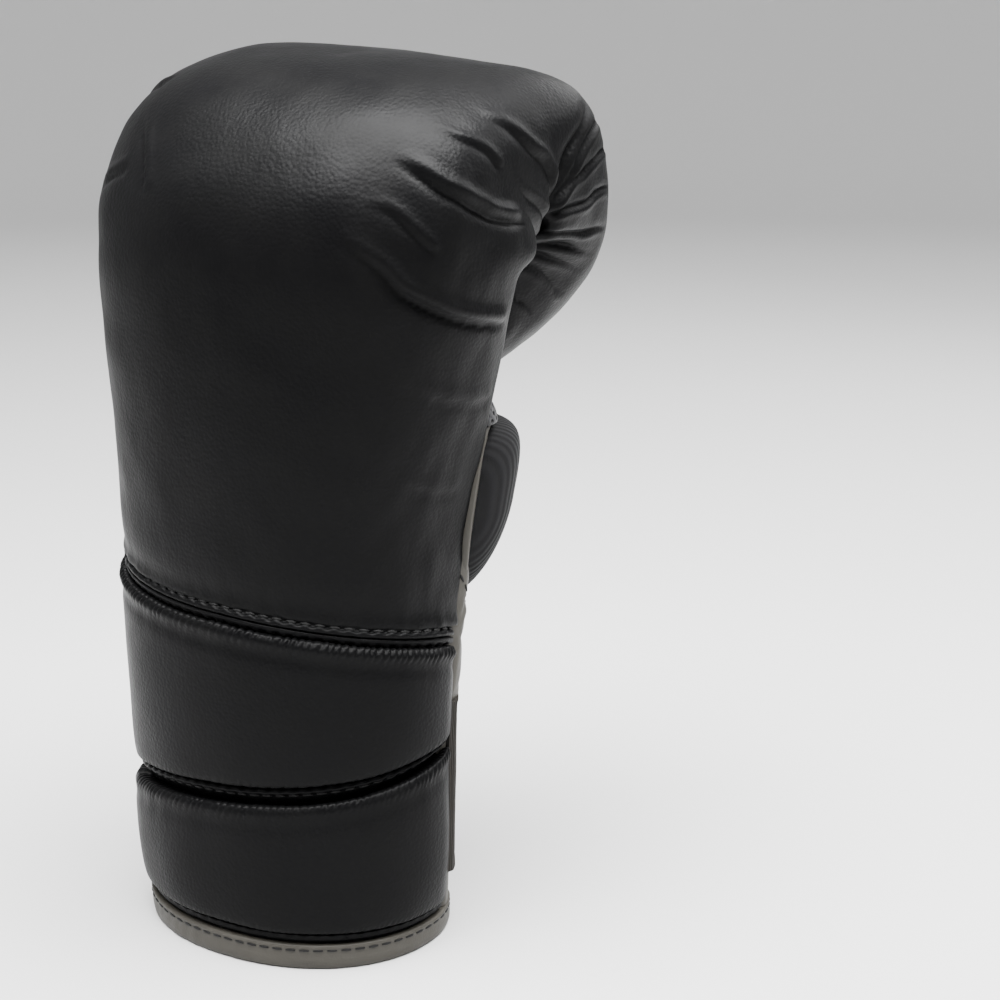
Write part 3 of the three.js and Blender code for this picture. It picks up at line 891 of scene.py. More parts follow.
# %% Upper and lower band
BANDS = table(
    "name   replaces   seed bead low high",
    ["wrist_pad_upper", "upper_band", 11, 1.0,
     lambda side: lower_seam(side) + lower_strip_above(side),
     lambda side: upper_seam(side) - upper_strip_below(side)],
    ["wrist_pad_lower", "lower_band", 23, 0.55,
     lambda side: BAND_FOOT, lambda side: lower_seam(side) - lower_strip_below(side)],
)
for band in BANDS:
    outer, relief = cushion(band["low"], band["high"], band["seed"], band["bead"])
    band_mesh = padded_form(*BAND_GRID, outer, band_inner(band["low"], band["high"]), relief)
    wrist_pad = finish_piece(
        band["name"], band_mesh, [black_leather, lining_cloth], [band["replaces"]],
    )

# %% [markdown]
# ## Seam strips
# Between two pads lies a flat strip of leather. At the upper seam the back's leather is
# turned under and lapped over the strip, and the lap shows as a dark line over a bright rim.
# At the lower seam both edges are drawn together into a groove. Black lockstitch runs along
# each edge, and the leather dips where a thread goes down. A strip is one grid, and its
# section is a table: the share of the way down between the pads and the height over the body.

# %% Sections of the strips
LAPPED = table(
    "share lift",
    [-0.3, -3.0], [-0.1, -1.2], [0.07, -1.1], [0.17, -0.2], [0.3, 0.1], [0.42, -0.1], [0.455, -1.5],
    [0.49, -1.3], [0.53, -0.2], [0.6, 0.0], [0.85, -0.3], [0.96, -1.6], [1.06, -2.2], [1.3, -3.4],
)
DRAWN_IN = table(
    "share lift",
    [-0.3, -3.0], [-0.1, -1.4], [0.08, -1.5], [0.18, -0.4], [0.32, -0.1], [0.45, -0.5], [0.56, -2.0],
    [0.7, -2.6], [0.85, -3.2], [1, -3.6], [1.3, -4.2],
)
OVER_HEM = table(
    "share lift",
    [-0.3, -2.6], [-0.1, -1.0], [0.1, -1.0], [0.25, -0.3], [0.6, -0.4], [0.8, -0.8], [1, -2.0], [1.3, -3.2],
)
TOP_SHARE, FOOT_SHARE = -0.3, 1.3
STRIP_GRID = (560, 40)


def section_lift(section, share):
    row = next(i for i in range(len(section) - 1) if share <= section[i + 1]["share"] + 1e-6)
    low, high = section[row], section[row + 1]
    way = (share - low["share"]) / (high["share"] - low["share"])
    return lerp(low["lift"], high["lift"], smoothstep(way, 0, 1))


def strip_between(low, high, section):
    """place(u, v) of a strip, v from its hidden lower edge to its hidden upper one."""
    def place(u, v):
        side = 2 * u - 1
        share = lerp(FOOT_SHARE, TOP_SHARE, v)
        return skin(side * BAND["wrap"], lerp(high(side), low(side), share), section_lift(section, share))

    return place


def row_at(share):
    """line(t) of a row of stitches at a share of the way down."""
    return lambda t: (t, (FOOT_SHARE - share) / (FOOT_SHARE - TOP_SHARE))


def strip_relief(rows, spots, width):
    def relief(u, v):
        share = lerp(FOOT_SHARE, TOP_SHARE, v)
        dips = sum(
            pulled_in(found, u) * hill((share - row) * width, 0, 1.0) for row, found in zip(rows, spots)
        )
        return 0.12 * noise.noise(Vector((u * 60, v * 2, 0))) - 0.5 * dips

    return relief


# %% The three strips
STRIPS = table(
    "name  replaces section width low high rows",
    ["seam_strip_upper", "upper_welt", LAPPED, 6.5,
     lambda side: upper_seam(side) - upper_strip_below(side),
     lambda side: upper_seam(side) + upper_strip_above(side), [0.07, 0.97]],
    ["seam_strip_lower", "lower_welt", DRAWN_IN, 6.0,
     lambda side: lower_seam(side) - lower_strip_below(side),
     lambda side: lower_seam(side) + lower_strip_above(side), [0.09, 0.57]],
    ["hem_strip", "hem_piping", OVER_HEM, 4.0,
     lambda side: HEM_HEIGHT, lambda side: BAND_FOOT, [0.1]],
)
back_rows = []
for strip in STRIPS:
    place = strip_between(strip["low"], strip["high"], strip["section"])
    spots = [stitch_spots(place, row_at(share)) for share in strip["rows"]]
    strip_mesh = laid_grid(STRIP_GRID, place, strip_relief(strip["rows"], spots, strip["width"]))
    seam_strip = finish_piece(
        strip["name"], strip_mesh, [black_leather], [strip["replaces"]],
    )
    add_wall(seam_strip, WALL["strip"])
    back_rows += [(place, row_at(share)) for share in strip["rows"]]
stitching("stitches_back", back_rows)

# %% [markdown]
# ## Lengths round the hem
# The binding, the slit and the thumb's hole were cut flat, so their outlines are drawn flat,
# as a length round the hem and a height. The length is 0 at the slit and grows towards the
# thumb.

# %% Flat outlines
SLIT_ANGLE, HEM_STEPS, MEASURED_AT = 194, 240, 20
hem_lengths = [0.0]
for step in range(HEM_STEPS):
    ends = [skin(SLIT_ANGLE - 360 * (step + i) / HEM_STEPS, MEASURED_AT) for i in (0, 1)]
    hem_lengths.append(hem_lengths[-1] + (ends[1] - ends[0]).length)
HEM_LENGTH = hem_lengths[-1]
print("hem, mm:", round(HEM_LENGTH))


def angle_at(length):
    wrapped = length % HEM_LENGTH
    step = min(bisect.bisect_right(hem_lengths, wrapped) - 1, HEM_STEPS - 1)
    share = (wrapped - hem_lengths[step]) / (hem_lengths[step + 1] - hem_lengths[step])
    return SLIT_ANGLE - 360 * (step + share) / HEM_STEPS


def length_at(angle):
    """Length round the hem, negative on the little finger's side of the slit."""
    steps = (SLIT_ANGLE - angle) / 360 * HEM_STEPS
    whole = math.floor(steps)
    length = lerp(hem_lengths[whole % HEM_STEPS], hem_lengths[whole % HEM_STEPS + 1], steps - whole)
    return length + HEM_LENGTH * (whole // HEM_STEPS)


def on_hem(length, z, lift=0.0):
    return skin(angle_at(length), z, lift)


def even_points(points, count):
    """The same line with its points at even distances."""
    lengths = [0.0]
    for a, b in zip(points, points[1:]):
        lengths.append(lengths[-1] + (b - a).length)
    even = []
    for i in range(count + 1):
        wanted = lengths[-1] * i / count
        row = min(bisect.bisect_right(lengths, wanted) - 1, len(points) - 2)
        share = (wanted - lengths[row]) / (lengths[row + 1] - lengths[row])
        even.append(points[row].lerp(points[row + 1], share))
    return even


# %% [markdown]
# ## The grey binding
# A strip of grey leather is folded over the raw edge of the cuff and of both edges of the
# slit in the palm. It is one closed tube, flattened, that follows the middle line of the
# strip; a row of stitches runs near the edge that lies away from the fold.

# %% The binding's middle line
SLIT = {"half": 2, "top": 147, "arch": 16, "flare": 46, "corner": 30}
BINDING_MIDDLE = HEM_HEIGHT / 2
EDGE_LINE = SLIT["half"] + HEM_HEIGHT / 2
CURVE_POINTS = 40


def curve(*knots):
    return interpolate_bezier(*(Vector((x, z)) for x, z in knots), CURVE_POINTS)


def slit_edge():
    """From the top of the slit down to the hem, at the thumb's side."""
    shoulder = SLIT["top"] - SLIT["arch"]
    arch = curve(
        (0, SLIT["top"]), (EDGE_LINE * 2 / 3, SLIT["top"]),
        (EDGE_LINE, SLIT["top"] - SLIT["arch"] / 3), (EDGE_LINE, shoulder),
    )
    corner = curve(
        (EDGE_LINE, SLIT["flare"]), (EDGE_LINE, SLIT["flare"] * 0.4),
        (EDGE_LINE + 5, BINDING_MIDDLE), (EDGE_LINE + SLIT["corner"], BINDING_MIDDLE),
    )
    return arch + corner


def binding_line():
    down = slit_edge()
    up = [Vector((HEM_LENGTH - point.x, point.y)) for point in reversed(down)]
    return even_points(down + up, BINDING_STEPS)


BINDING_STEPS, BINDING_SIDES = 560, 24
BINDING_TUBE = {"half": 4.25, "low": -2.9, "high": 0.75}
binding_points = binding_line()


def flat_offset(points, t, sideways):
    """A point beside a flat line. t runs from 0 to 1 along it."""
    at = t * (len(points) - 1)
    row = min(int(at), len(points) - 2)
    before, after = points[max(row - 1, 0)], points[min(row + 2, len(points) - 1)]
    tangent = (after - before).normalized()
    point = points[row].lerp(points[row + 1], at - row)
    return point + Vector((-tangent.y, tangent.x)) * sideways


def flat_tube(points, size, foot=-math.inf):
    """place(u, v) of a flattened tube along a flat line. v goes round it: 0.25 is the middle
    of its outer face."""
    middle = (size["low"] + size["high"]) / 2

    def place(u, v):
        turn = v * 2 * math.pi
        flat = flat_offset(points, u, size["half"] * power(math.cos(turn), 0.5))
        lift = middle + (size["high"] - middle) * power(math.sin(turn), 0.6)
        return on_hem(flat.x, max(flat.y, foot), lift)

    return place


def binding_face(u, v):
    """The outer face alone. v is 0 at the stitched edge and 1 at the folded one."""
    flat = flat_offset(binding_points, u, lerp(1, -1, v) * BINDING_TUBE["half"])
    return on_hem(flat.x, flat.y, BINDING_TUBE["high"])


STITCH_INSET, BINDING_GROOVE = 1.9, 0.35
BINDING_ROW = STITCH_INSET / HEM_HEIGHT


def binding_relief(u, v):
    turn = v * 2 * math.pi
    sideways = BINDING_TUBE["half"] * power(math.cos(turn), 0.5)
    on_face = smoothstep(math.sin(turn), 0.2, 0.8)
    row = BINDING_TUBE["half"] - STITCH_INSET
    groove = BINDING_GROOVE * hill(sideways, row, 0.8)
    bead = 0.4 * hill(sideways, BINDING_TUBE["half"] - 0.6, 0.6)
    return on_face * (0.15 * noise.noise(Vector((u * 160, v * 4, 0))) - groove + bead)


# %% The binding and its stitches
binding_place = flat_tube(binding_points, BINDING_TUBE, foot=0.1)
binding_mesh = laid_grid((BINDING_STEPS, BINDING_SIDES), binding_place, binding_relief)
weld(binding_mesh)
print("open edges left:", len(open_edges(binding_mesh)))
bmesh.ops.recalc_face_normals(binding_mesh, faces=binding_mesh.faces)
edge_binding = finish_piece("edge_binding", binding_mesh, [grey_leather], ["hem_binding"])
stitching(
    "stitches_binding", [(binding_face, lambda t: (t, BINDING_ROW), lambda u, v: 0.1 - BINDING_GROOVE)],
)

# %% [markdown]
# ## The palm
# The palm is one sheet of thin grey leather, cut open along the slit and for the thumb. The
# sheet is a fine grid in the flat. Faces within the openings are deleted, and the points
# that are left on their borders are moved onto the drawn lines, so the cut is smooth.

# %% The palm's surface
PALM_FOOT, PALM_TOP = HEM_HEIGHT + GAP, 172
LIP = {"from": 156, "reach": 15.5, "start": 152, "end": 218, "fade": 14}
THUMB = {"angle": 136, "z": 142, "half_width": 22.5, "half_height": 34, "rim": 3, "reach": 16.5}
TOP_SQUARENESS = 0.6
thumb_length = hem_lengths[round((SLIT_ANGLE - THUMB["angle"]) / 360 * HEM_STEPS)]
thumb_middle = Vector((thumb_length, THUMB["z"]))


def palm_edge(z):
    return BAND["wrap"] + 1.6 + 4 * smoothstep(z, 80, 108)


def palm_point(length, z, lift=0.0):
    angle = angle_at(length)
    across = smoothstep(angle, LIP["start"], LIP["start"] + LIP["fade"])
    across *= 1 - smoothstep(angle, LIP["end"] - LIP["fade"], LIP["end"])
    rise = across * (max(z - LIP["from"], 0) / (PALM_TOP - LIP["from"])) ** 2
    return skin(angle, z - 0.5 * lift * rise, lift + LIP["reach"] * rise)


def thumb_oval(turn, grow=0.0):
    upright = TOP_SQUARENESS if math.sin(turn) > 0 else 1
    return Vector((
        thumb_length + (THUMB["half_width"] + grow) * power(math.cos(turn), upright),
        THUMB["z"] + (THUMB["half_height"] + grow) * power(math.sin(turn), upright),
    ))


def in_thumb_hole(flat, grow=0.0):
    upright = 2 / TOP_SQUARENESS if flat.y > THUMB["z"] else 2
    across = abs(flat.x - thumb_length) / (THUMB["half_width"] + grow)
    up = abs(flat.y - THUMB["z"]) / (THUMB["half_height"] + grow)
    return across ** upright + up ** upright < 1


# %% The sheet in the flat, and its cuts
PALM_COLUMNS, PALM_ROWS = 240, 170
SLIT_COVER, THUMB_COVER = 2.6, -1.2
SLIT_POINTS, THUMB_POINTS = 60, 90
CUT_REACH = 2.5
TUCKED_IN, TUCK_DEPTH = 3.5, 3.2
slit_down = even_points(slit_edge(), SLIT_POINTS)
slit_cut = [flat_offset(slit_down, i / SLIT_POINTS, SLIT_COVER) for i in range(SLIT_POINTS + 1)]
thumb_cut = [thumb_oval(2 * math.pi * i / THUMB_POINTS, THUMB_COVER) for i in range(THUMB_POINTS + 1)]


def palm_flat(u, v):
    """The sheet's edges are sewn in under the pads, so it is a little wider than it looks."""
    z = lerp(PALM_FOOT - 1, PALM_TOP, v)
    edge = palm_edge(z)
    return Vector((lerp(length_at(edge) + TUCKED_IN, length_at(360 - edge) - TUCKED_IN, u), z))


def palm_tuck(flat):
    """How far the sheet's edge dips, in mm."""
    edge = palm_edge(flat.y)
    inside = min(length_at(edge) - flat.x, flat.x - length_at(360 - edge))
    return TUCK_DEPTH * (1 - smoothstep(inside, -TUCKED_IN, 2.5))


def in_slit(flat):
    if flat.y >= slit_cut[0].y:
        return False
    for upper, lower in zip(slit_cut, slit_cut[1:]):
        if upper.y >= flat.y > lower.y:
            return abs(flat.x) < lerp(upper.x, lower.x, (upper.y - flat.y) / (upper.y - lower.y))
    return abs(flat.x) < slit_cut[-1].x


def nearest_on(line, flat):
    """The place on a flat line that is nearest to a point."""
    best, best_distance = flat, math.inf
    for a, b in zip(line, line[1:]):
        run = b - a
        share = min(max((flat - a).dot(run) / run.length_squared, 0), 1)
        point = a + run * share
        if (flat - point).length < best_distance:
            best, best_distance = point, (flat - point).length
    return best


def cut_border(flat):
    """Where a point on the border of a cut goes, in the flat."""
    if in_thumb_hole(flat, THUMB_COVER + CUT_REACH):
        return nearest_on(thumb_cut, flat)
    mirrored = Vector((abs(flat.x), flat.y))
    point = nearest_on(slit_cut, mirrored)
    if (point - mirrored).length > CUT_REACH:
        return flat
    return Vector((math.copysign(point.x, flat.x), point.y))


# %% [markdown]
# Leather that is drawn in round a hole wrinkles away from it like rays, and sags in soft
# folds between the pads. Both are waves: the rays depend on the direction from the hole.

# %% Wrinkles of the palm
RAYS, RAY_HEIGHT = 13, 0.8


def palm_relief(flat):
    away = Vector((flat.x - thumb_length, (flat.y - THUMB["z"]) * 0.66))
    reach = away.length - THUMB["half_width"]
    warp = noise.noise(Vector((flat.x / 22, flat.y / 22, 4)))
    rays = math.sin(RAYS * math.atan2(away.y, away.x) + 4 * warp) ** 3 * RAY_HEIGHT
    rays *= math.exp(-max(reach, 0) / 11) * smoothstep(reach, 1.5, 4)
    soft = 1.1 * noise.noise(Vector((flat.x / 19, flat.y / 30, 8))) * smoothstep(flat.y, 20, 60)
    creases = abs(noise.noise(Vector(((flat.x + 0.5 * flat.y) / 16, (flat.y - 0.4 * flat.x) / 30, 2))))
    soft -= 0.7 * math.exp(-creases * 9) * smoothstep(flat.y, 70, 100)
    gathers = 0.45 * noise.noise(Vector((flat.x / 3, flat.y / 2.6, 6))) * hill(flat.y, PALM_TOP - 6, 9)
    beside_pad = 2.2 * hill(flat.x, length_at(palm_edge(120)) - 5, 6) * smoothstep(flat.y, 50, 90)
    return rays + soft * smoothstep(abs(flat.x), 9, 16) + gathers + beside_pad - palm_tuck(flat)


# %% The palm leather
def cut_sheet(columns, rows, to_flat, hole, border, to_space, relief):
    """A grid in the flat with an opening cut in it, laid onto the body."""
    mesh = new_grid(columns, rows)
    flat = {vert: to_flat(vert.co.x, vert.co.y) for vert in mesh.verts}
    rim = {vert for vert in mesh.verts if vert.is_boundary}
    gone = [face for face in mesh.faces if hole(sum((flat[v] for v in face.verts), Vector((0, 0))) / 4)]
    bmesh.ops.delete(mesh, geom=gone, context="FACES")
    for vert in mesh.verts:
        if vert.is_boundary and vert not in rim:
            flat[vert] = border(flat[vert])
        vert.co = flat[vert].to_3d() * MM
    area = surface_area(mesh)
    for vert in mesh.verts:
        vert.co = to_space(*flat[vert]) * MM
    mesh.normal_update()
    moves = [(vert, vert.normal * relief(flat[vert]) * MM) for vert in mesh.verts]
    for vert, move in moves:
        vert.co += move
    return mesh, area


palm_mesh, palm_area = cut_sheet(
    PALM_COLUMNS, PALM_ROWS, palm_flat,
    lambda flat: in_slit(flat) or in_thumb_hole(flat, THUMB_COVER),
    cut_border, palm_point, palm_relief,
)
palm_leather = finish_piece("palm_leather", palm_mesh, [grey_leather], ["palm_panel"])
add_wall(palm_leather, WALL["palm"])
palm_size = ((palm_flat(0, 0) - palm_flat(1, 0)).length * MM, (palm_flat(0, 1) - palm_flat(0, 0)).y * MM)
declare_sheet(palm_leather, palm_size, palm_area)

# %% [markdown]
# ## The thumb
# A narrow grey binding edges the hole, a U whose ends are hidden under the mesh. The stall
# itself is thin black jersey that takes the thumb. It is a dome: a grid whose columns go
# round the hole and whose rows climb to one point, where they are merged.

# %% Binding of the thumb's hole
RIM_GAP = 62
RIM_STEPS, RIM_SIDES = 160, 16
RIM_TUBE = {"half": 1.7, "low": -1.8, "high": 1.4}
RIM_INSET, BESIDE_RIM = 1.5, 1.8


def rim_turn(share):
    """The direction from the hole's middle, going round from one end of the U to the other."""
    return math.radians(lerp(90 + RIM_GAP / 2, 450 - RIM_GAP / 2, share))


rim_points = [thumb_oval(rim_turn(i / RIM_STEPS), -RIM_INSET) for i in range(RIM_STEPS + 1)]
rim_line = even_points(rim_points, RIM_STEPS)
rim_mesh = laid_grid((RIM_STEPS, RIM_SIDES), flat_tube(rim_line, RIM_TUBE))
weld(rim_mesh)
bmesh.ops.holes_fill(rim_mesh, edges=open_edges(rim_mesh))
bmesh.ops.recalc_face_normals(rim_mesh, faces=rim_mesh.faces)
finish_piece("thumb_edge_binding", rim_mesh, [grey_leather], ["thumb_binding"])


def beside_thumb_hole(u, v):
    """The palm leather beside the hole, u along its edge and v outwards, 1 at the row."""
    flat = thumb_oval(rim_turn(u), v * BESIDE_RIM)
    return palm_point(flat.x, flat.y, palm_relief(flat))


stitching("stitches_thumb", [(beside_thumb_hole, lambda t: (lerp(0.02, 0.98, t), 1))])


# %% The thumb's stall
STALL_WALL, STALL_PEAK, STALL_MARGIN = 1.6, 10, 0.5
JERSEY_REPEAT = 120
STALL_GRID = (120, 40)


def stall_flat(u, v):
    turn = u * 2 * math.pi
    radius = math.cos(v * math.pi / 2) ** 0.6 if v < 1 else 0
    rim = thumb_oval(turn, -THUMB["rim"] - STALL_MARGIN)
    peak = thumb_middle + Vector((0, STALL_PEAK))
    fullness = lerp(2, 7, (1 + math.sin(turn)) / 2)
    lift = THUMB["reach"] * (1 - radius ** fullness) ** (1 / 2.2) - STALL_WALL
    return peak.lerp(rim, radius), lift


def stall_place(u, v):
    flat, lift = stall_flat(u, v)
    return on_hem(flat.x, flat.y, lift)


stall_mesh = new_grid(*STALL_GRID)
jersey_map = stall_mesh.loops.layers.uv.active
for face in stall_mesh.faces:
    for loop in face.loops:
        loop[jersey_map].uv = stall_flat(loop.vert.co.x, loop.vert.co.y)[0] / JERSEY_REPEAT
lay_out(stall_mesh, stall_place)
weld(stall_mesh, 0.01)
bmesh.ops.recalc_face_normals(stall_mesh, faces=stall_mesh.faces)
stall_area = surface_area(stall_mesh)
stall = finish_piece("jersey_stall", stall_mesh, [jersey_knit], ["thumb_stall"])
add_wall(stall, WALL["jersey"])
halves = [run_length(lambda t, u=u: stall_place(u, t)) for u in (0, 0.25, 0.5, 0.75)]
stall_size = (halves[0] + halves[2], halves[1] + halves[3])
declare_sheet(stall, stall_size, stall_area)

# %% [markdown]
# ## The sides of the fist
# Between the back pad and the rolled part of it a side wall closes the fist. At the thumb's
# side its lower part is knitted spacer mesh, which lets air in, and its upper part a
# crescent of grey leather. At the little finger's side it is grey leather all the way.

# %% The walls between the pad's edges
MESH_TOP = 214
GUSSET = {"foot": PALM_TOP + 1, "back_from": 2, "front_to": 14.6, "crown": 9}
ROW_STEP = 0.05
FLARE_HEIGHT, FLARE_END, FLARE_REACH = 16, 155, 5


@functools.lru_cache(maxsize=None)
def pad_edge_at(end, z, from_, to):
    """The middle of the pad's edge where it first reaches a height, going by rows."""
    step = math.copysign(ROW_STEP, to - from_)
    at = from_
    while True:
        point = (pad_cover(end, at) + pad_lining(end, at)) / 2
        if point.z >= z or (to - at) * step <= 0:
            return point
        at += step


def side_wall(end, foot, top):
    """place(u, v) of a wall between the pad's edges. Its foot flares out to the palm."""
    def place(u, v):
        z = round(lerp(foot, top, v), 2)
        back = pad_edge_at(end, z, GUSSET["back_from"], GUSSET["crown"])
        front = pad_edge_at(end, z, GUSSET["front_to"], GUSSET["crown"])
        share = u if end > 0 else 1 - u
        point = back.lerp(front, share)
        flare = 1 - smoothstep(z, PALM_TOP - 1, PALM_TOP + FLARE_HEIGHT)
        if flare:
            turn = lerp(palm_edge(PALM_TOP) - 2, FLARE_END, share)
            low = skin(turn if end > 0 else 360 - turn, z, FLARE_REACH * math.sin(math.pi * share) ** 0.5)
            point = point.lerp(low, flare)
        return Vector((point.x, point.y, z))

    return place


# %% The grey walls
SWELL_RISE, GATHERS = 0.7, 0.6
WALL_GRID = (80, 60)


def wall_relief(seed, swell):
    """A wall swells outwards in its middle and gathers towards its top."""
    def relief(u, v):
        across = math.sin(math.pi * u) ** 0.6
        gathers = noise.noise(Vector((u * 6, v * 1.6, seed)))
        gathers += 0.5 * noise.noise(Vector((u * 13, v * 2.5, seed)))
        rise = math.sin(math.pi * min(v * SWELL_RISE, 1))
        return swell * across * rise + GATHERS * gathers * smoothstep(v, 0.2, 0.95)

    return relief


GREY_WALLS = table(
    "name end foot top swell replaces",
    ["side_crescent_thumb", 1, MESH_TOP + 0.3, 238, 1.6, "finger_gusset_thumb"],
    ["side_wall_little", -1, GUSSET["foot"] - 1, 241, 1.0, "finger_gusset_little"],
)
for wall in GREY_WALLS:
    wall_place = side_wall(wall["end"], wall["foot"], wall["top"])
    wall_mesh = laid_grid(WALL_GRID, wall_place, wall_relief(wall["end"], wall["swell"]))
    wall_area = surface_area(wall_mesh)
    grey_wall = finish_piece(wall["name"], wall_mesh, [grey_leather], [wall["replaces"]])
    add_wall(grey_wall, WALL["side"])
    wall_size = drawn_size(wall_place, 0)
    wall_area = min(wall_area, wall_size[0] * wall_size[1])
    declare_sheet(grey_wall, wall_size, wall_area)

# %% [markdown]
# Spacer mesh is knitted with round holes in slanting rows. The net starts as a grid of
# squares that is turned by 45 degrees; every square is inset, its middle is deleted, and
# subdivision rounds what is left into yarn. A plain dark layer lies behind it, as the real
# fabric has a closed back.

# %% The spacer mesh
HOLE_PITCH, YARN_SHARE = 2.8, 0.24
MESH_SWELL, BACKING_DEPTH, BACKING_GRID = 0.6, 1.4, (24, 30)
MESH_WIDTH, MESH_HEIGHT = 34, MESH_TOP - GUSSET["foot"] + 1.5
mesh_wall = side_wall(1, GUSSET["foot"] - 1, MESH_TOP + 0.5)
cells = math.ceil((MESH_WIDTH + MESH_HEIGHT) / HOLE_PITCH)
net = bmesh.new()
net.loops.layers.uv.new("UVMap")
bmesh.ops.create_grid(net, x_segments=cells, y_segments=cells, size=cells * HOLE_PITCH / 2, calc_uvs=True)
bmesh.ops.rotate(net, verts=net.verts, matrix=Matrix.Rotation(math.radians(45), 3, "Z"))
bmesh.ops.inset_individual(net, faces=net.faces, thickness=HOLE_PITCH * YARN_SHARE, use_even_offset=True)
hole_area = (HOLE_PITCH * (1 - 2 * YARN_SHARE)) ** 2
holes = [face for face in net.faces if abs(face.calc_area() - hole_area) < 0.05]
bmesh.ops.delete(net, geom=holes, context="FACES")
for normal, distance in (((1, 0, 0), MESH_WIDTH / 2), ((-1, 0, 0), MESH_WIDTH / 2),
                         ((0, 1, 0), MESH_HEIGHT / 2), ((0, -1, 0), MESH_HEIGHT / 2)):
    bmesh.ops.bisect_plane(
        net, geom=net.verts[:] + net.edges[:] + net.faces[:],
        plane_co=Vector(normal) * distance, plane_no=normal, clear_outer=True,
    )
for vert in net.verts:
    u, v = vert.co.x / MESH_WIDTH + 0.5, vert.co.y / MESH_HEIGHT + 0.5
    outwards = MESH_SWELL * math.sin(math.pi * min(max(u, 0), 1))
    vert.co = (mesh_wall(min(max(u, 0), 1), v) + Vector((outwards, 0, 0))) * MM
print("holes in the mesh:", len(holes))
spacer_mesh = finish_piece("spacer_mesh", net, [spacer_yarn, lining_cloth], ["mesh_panel"])
add_wall(spacer_mesh, WALL["mesh"])
rounding = spacer_mesh.modifiers.new("rounding", "SUBSURF")
rounding.levels = rounding.render_levels = 1
backing = laid_grid(BACKING_GRID, lambda u, v: mesh_wall(u, v) + Vector((-BACKING_DEPTH, 0, 0)))
net_back = finish_piece("spacer_mesh_back", backing, [lining_cloth])
for layer in (spacer_mesh, net_back):
    declare_sheet(layer, drawn_size(mesh_wall))

# Two rows of stitches join the crescent to the mesh.
crescent = GREY_WALLS[0]
crescent_place = side_wall(crescent["end"], crescent["foot"], crescent["top"])
crescent_relief = wall_relief(crescent["end"], crescent["swell"])
CRESCENT_ROWS = (0.08, 0.26)
crescent_rows = [
    (crescent_place, lambda t, v=v: (lerp(0.06, 0.94, t), v), crescent_relief) for v in CRESCENT_ROWS
]
stitching("stitches_crescent", crescent_rows)

# %% [markdown]
# ## The strap
# A wide elastic starts at the thumb's side and is pulled over the slit. A leather tab is
# sewn to its end and closes on a patch of loop fabric. Each is a strip in the flat that is
# wrapped round the wrist. The strip climbs a little on its way, as the wrist narrows.

# %% The strap's line
STRAP = {"from": 101, "joint": 178, "to": 250, "low": 22, "rise": 9, "width": 59.5}
ELASTIC_LIFT = 3.4
TAB = {"width": 61, "length": 88, "low_corner": 22, "top_corner": 9, "lift": 5.4}
PATCH = {"from": 212, "to": 254, "low": 29, "high": 93, "lift": 1.8}


def strap_low(angle):
    return STRAP["low"] + STRAP["rise"] * smoothstep(angle, STRAP["from"], 170)


def strap_strip(from_, to, width, lift):
    """place(u, v) of a strip of the strap; lift(u) is the height of its outer face."""
    def place(u, v):
        angle = lerp(from_, to, u)
        low = strap_low(angle) + (STRAP["width"] - width) / 2
        return skin(angle, low + width * v, lift(u))

    return place


# %% The elastic
UNDER_TAB = 3
ELASTIC_GRID, TAB_GRID, PATCH_GRID = (150, 60), (150, 90), (60, 60)


def elastic_lift(u):
    tucked_start = 2.6 * (1 - smoothstep(u, 0, 0.05))
    slack = 1.6 * (1 - smoothstep(u, 0.15, 0.6))
    return ELASTIC_LIFT - slack - tucked_start * 0.6 - 1.4 * smoothstep(u, 0.9, 0.97)


def elastic_relief(u, v):
    """Slow waves, and the firmer cord along both edges."""
    cords = hill(v, 0, 0.02) + hill(v, 1, 0.02)
    return 0.35 * noise.noise(Vector((u * 9, v * 2.5, 1))) + 0.3 * cords


elastic_place = strap_strip(STRAP["from"], STRAP["joint"] + UNDER_TAB, STRAP["width"], elastic_lift)
elastic_mesh = laid_grid(ELASTIC_GRID, elastic_place, elastic_relief)
elastic = finish_piece("strap_elastic_woven", elastic_mesh, [elastic_weave], ["strap_elastic"])
add_wall(elastic, WALL["elastic"], rounding=0.4)
declare_sheet(elastic, drawn_size(elastic_place))

# %% The tab
TAB_ROWS = (2.6, 6.6)
END_ROWS = (3.2, 10.0)
ROW_END = 2.5
CORNER_STEPS = 8
tab_strip = strap_strip(STRAP["joint"] - 0.3, STRAP["to"], TAB["width"], lambda u: TAB["lift"])


def corner_cut(left, radius):
    """How much a rounded corner takes off, at a distance from the tab's end."""
    inside = max(radius - left, 0)
    return radius - math.sqrt(radius ** 2 - inside ** 2)


def tab_share(u, v):
    """From the grid's place to shares of the tab's length and width."""
    along_tab = 1 - (1 - u) ** 1.5
    left = (1 - along_tab) * TAB["length"]
    low = corner_cut(left, TAB["low_corner"])
    high = TAB["width"] - corner_cut(left, TAB["top_corner"])
    return along_tab, lerp(low, high, v) / TAB["width"]


def tab_outline(inset):
    """The tab's border, moved inwards, from its joint round the end and back."""
    length, width = TAB["length"], TAB["width"]
    points = [Vector((END_ROWS[1] + 2, width - inset))]
    for radius, middle, start in (
        (TAB["top_corner"], width - TAB["top_corner"], 90),
        (TAB["low_corner"], TAB["low_corner"], 0),
    ):
        reach = max(radius - inset, 0.5)
        for step in range(CORNER_STEPS + 1):
            turn = math.radians(start - 90 * step / CORNER_STEPS)
            x, y = length - radius + reach * math.cos(turn), middle + reach * math.sin(turn)
            points.append(Vector((x, y)))
    points.append(Vector((END_ROWS[1] + 2, inset)))
    return even_points(points, 120)


def tab_row(points):
    """line(t) along flat points in mm, as shares of the tab."""
    def line(t):
        flat = flat_offset(points, t, 0)
        return flat.x / TAB["length"], flat.y / TAB["width"]

    return line


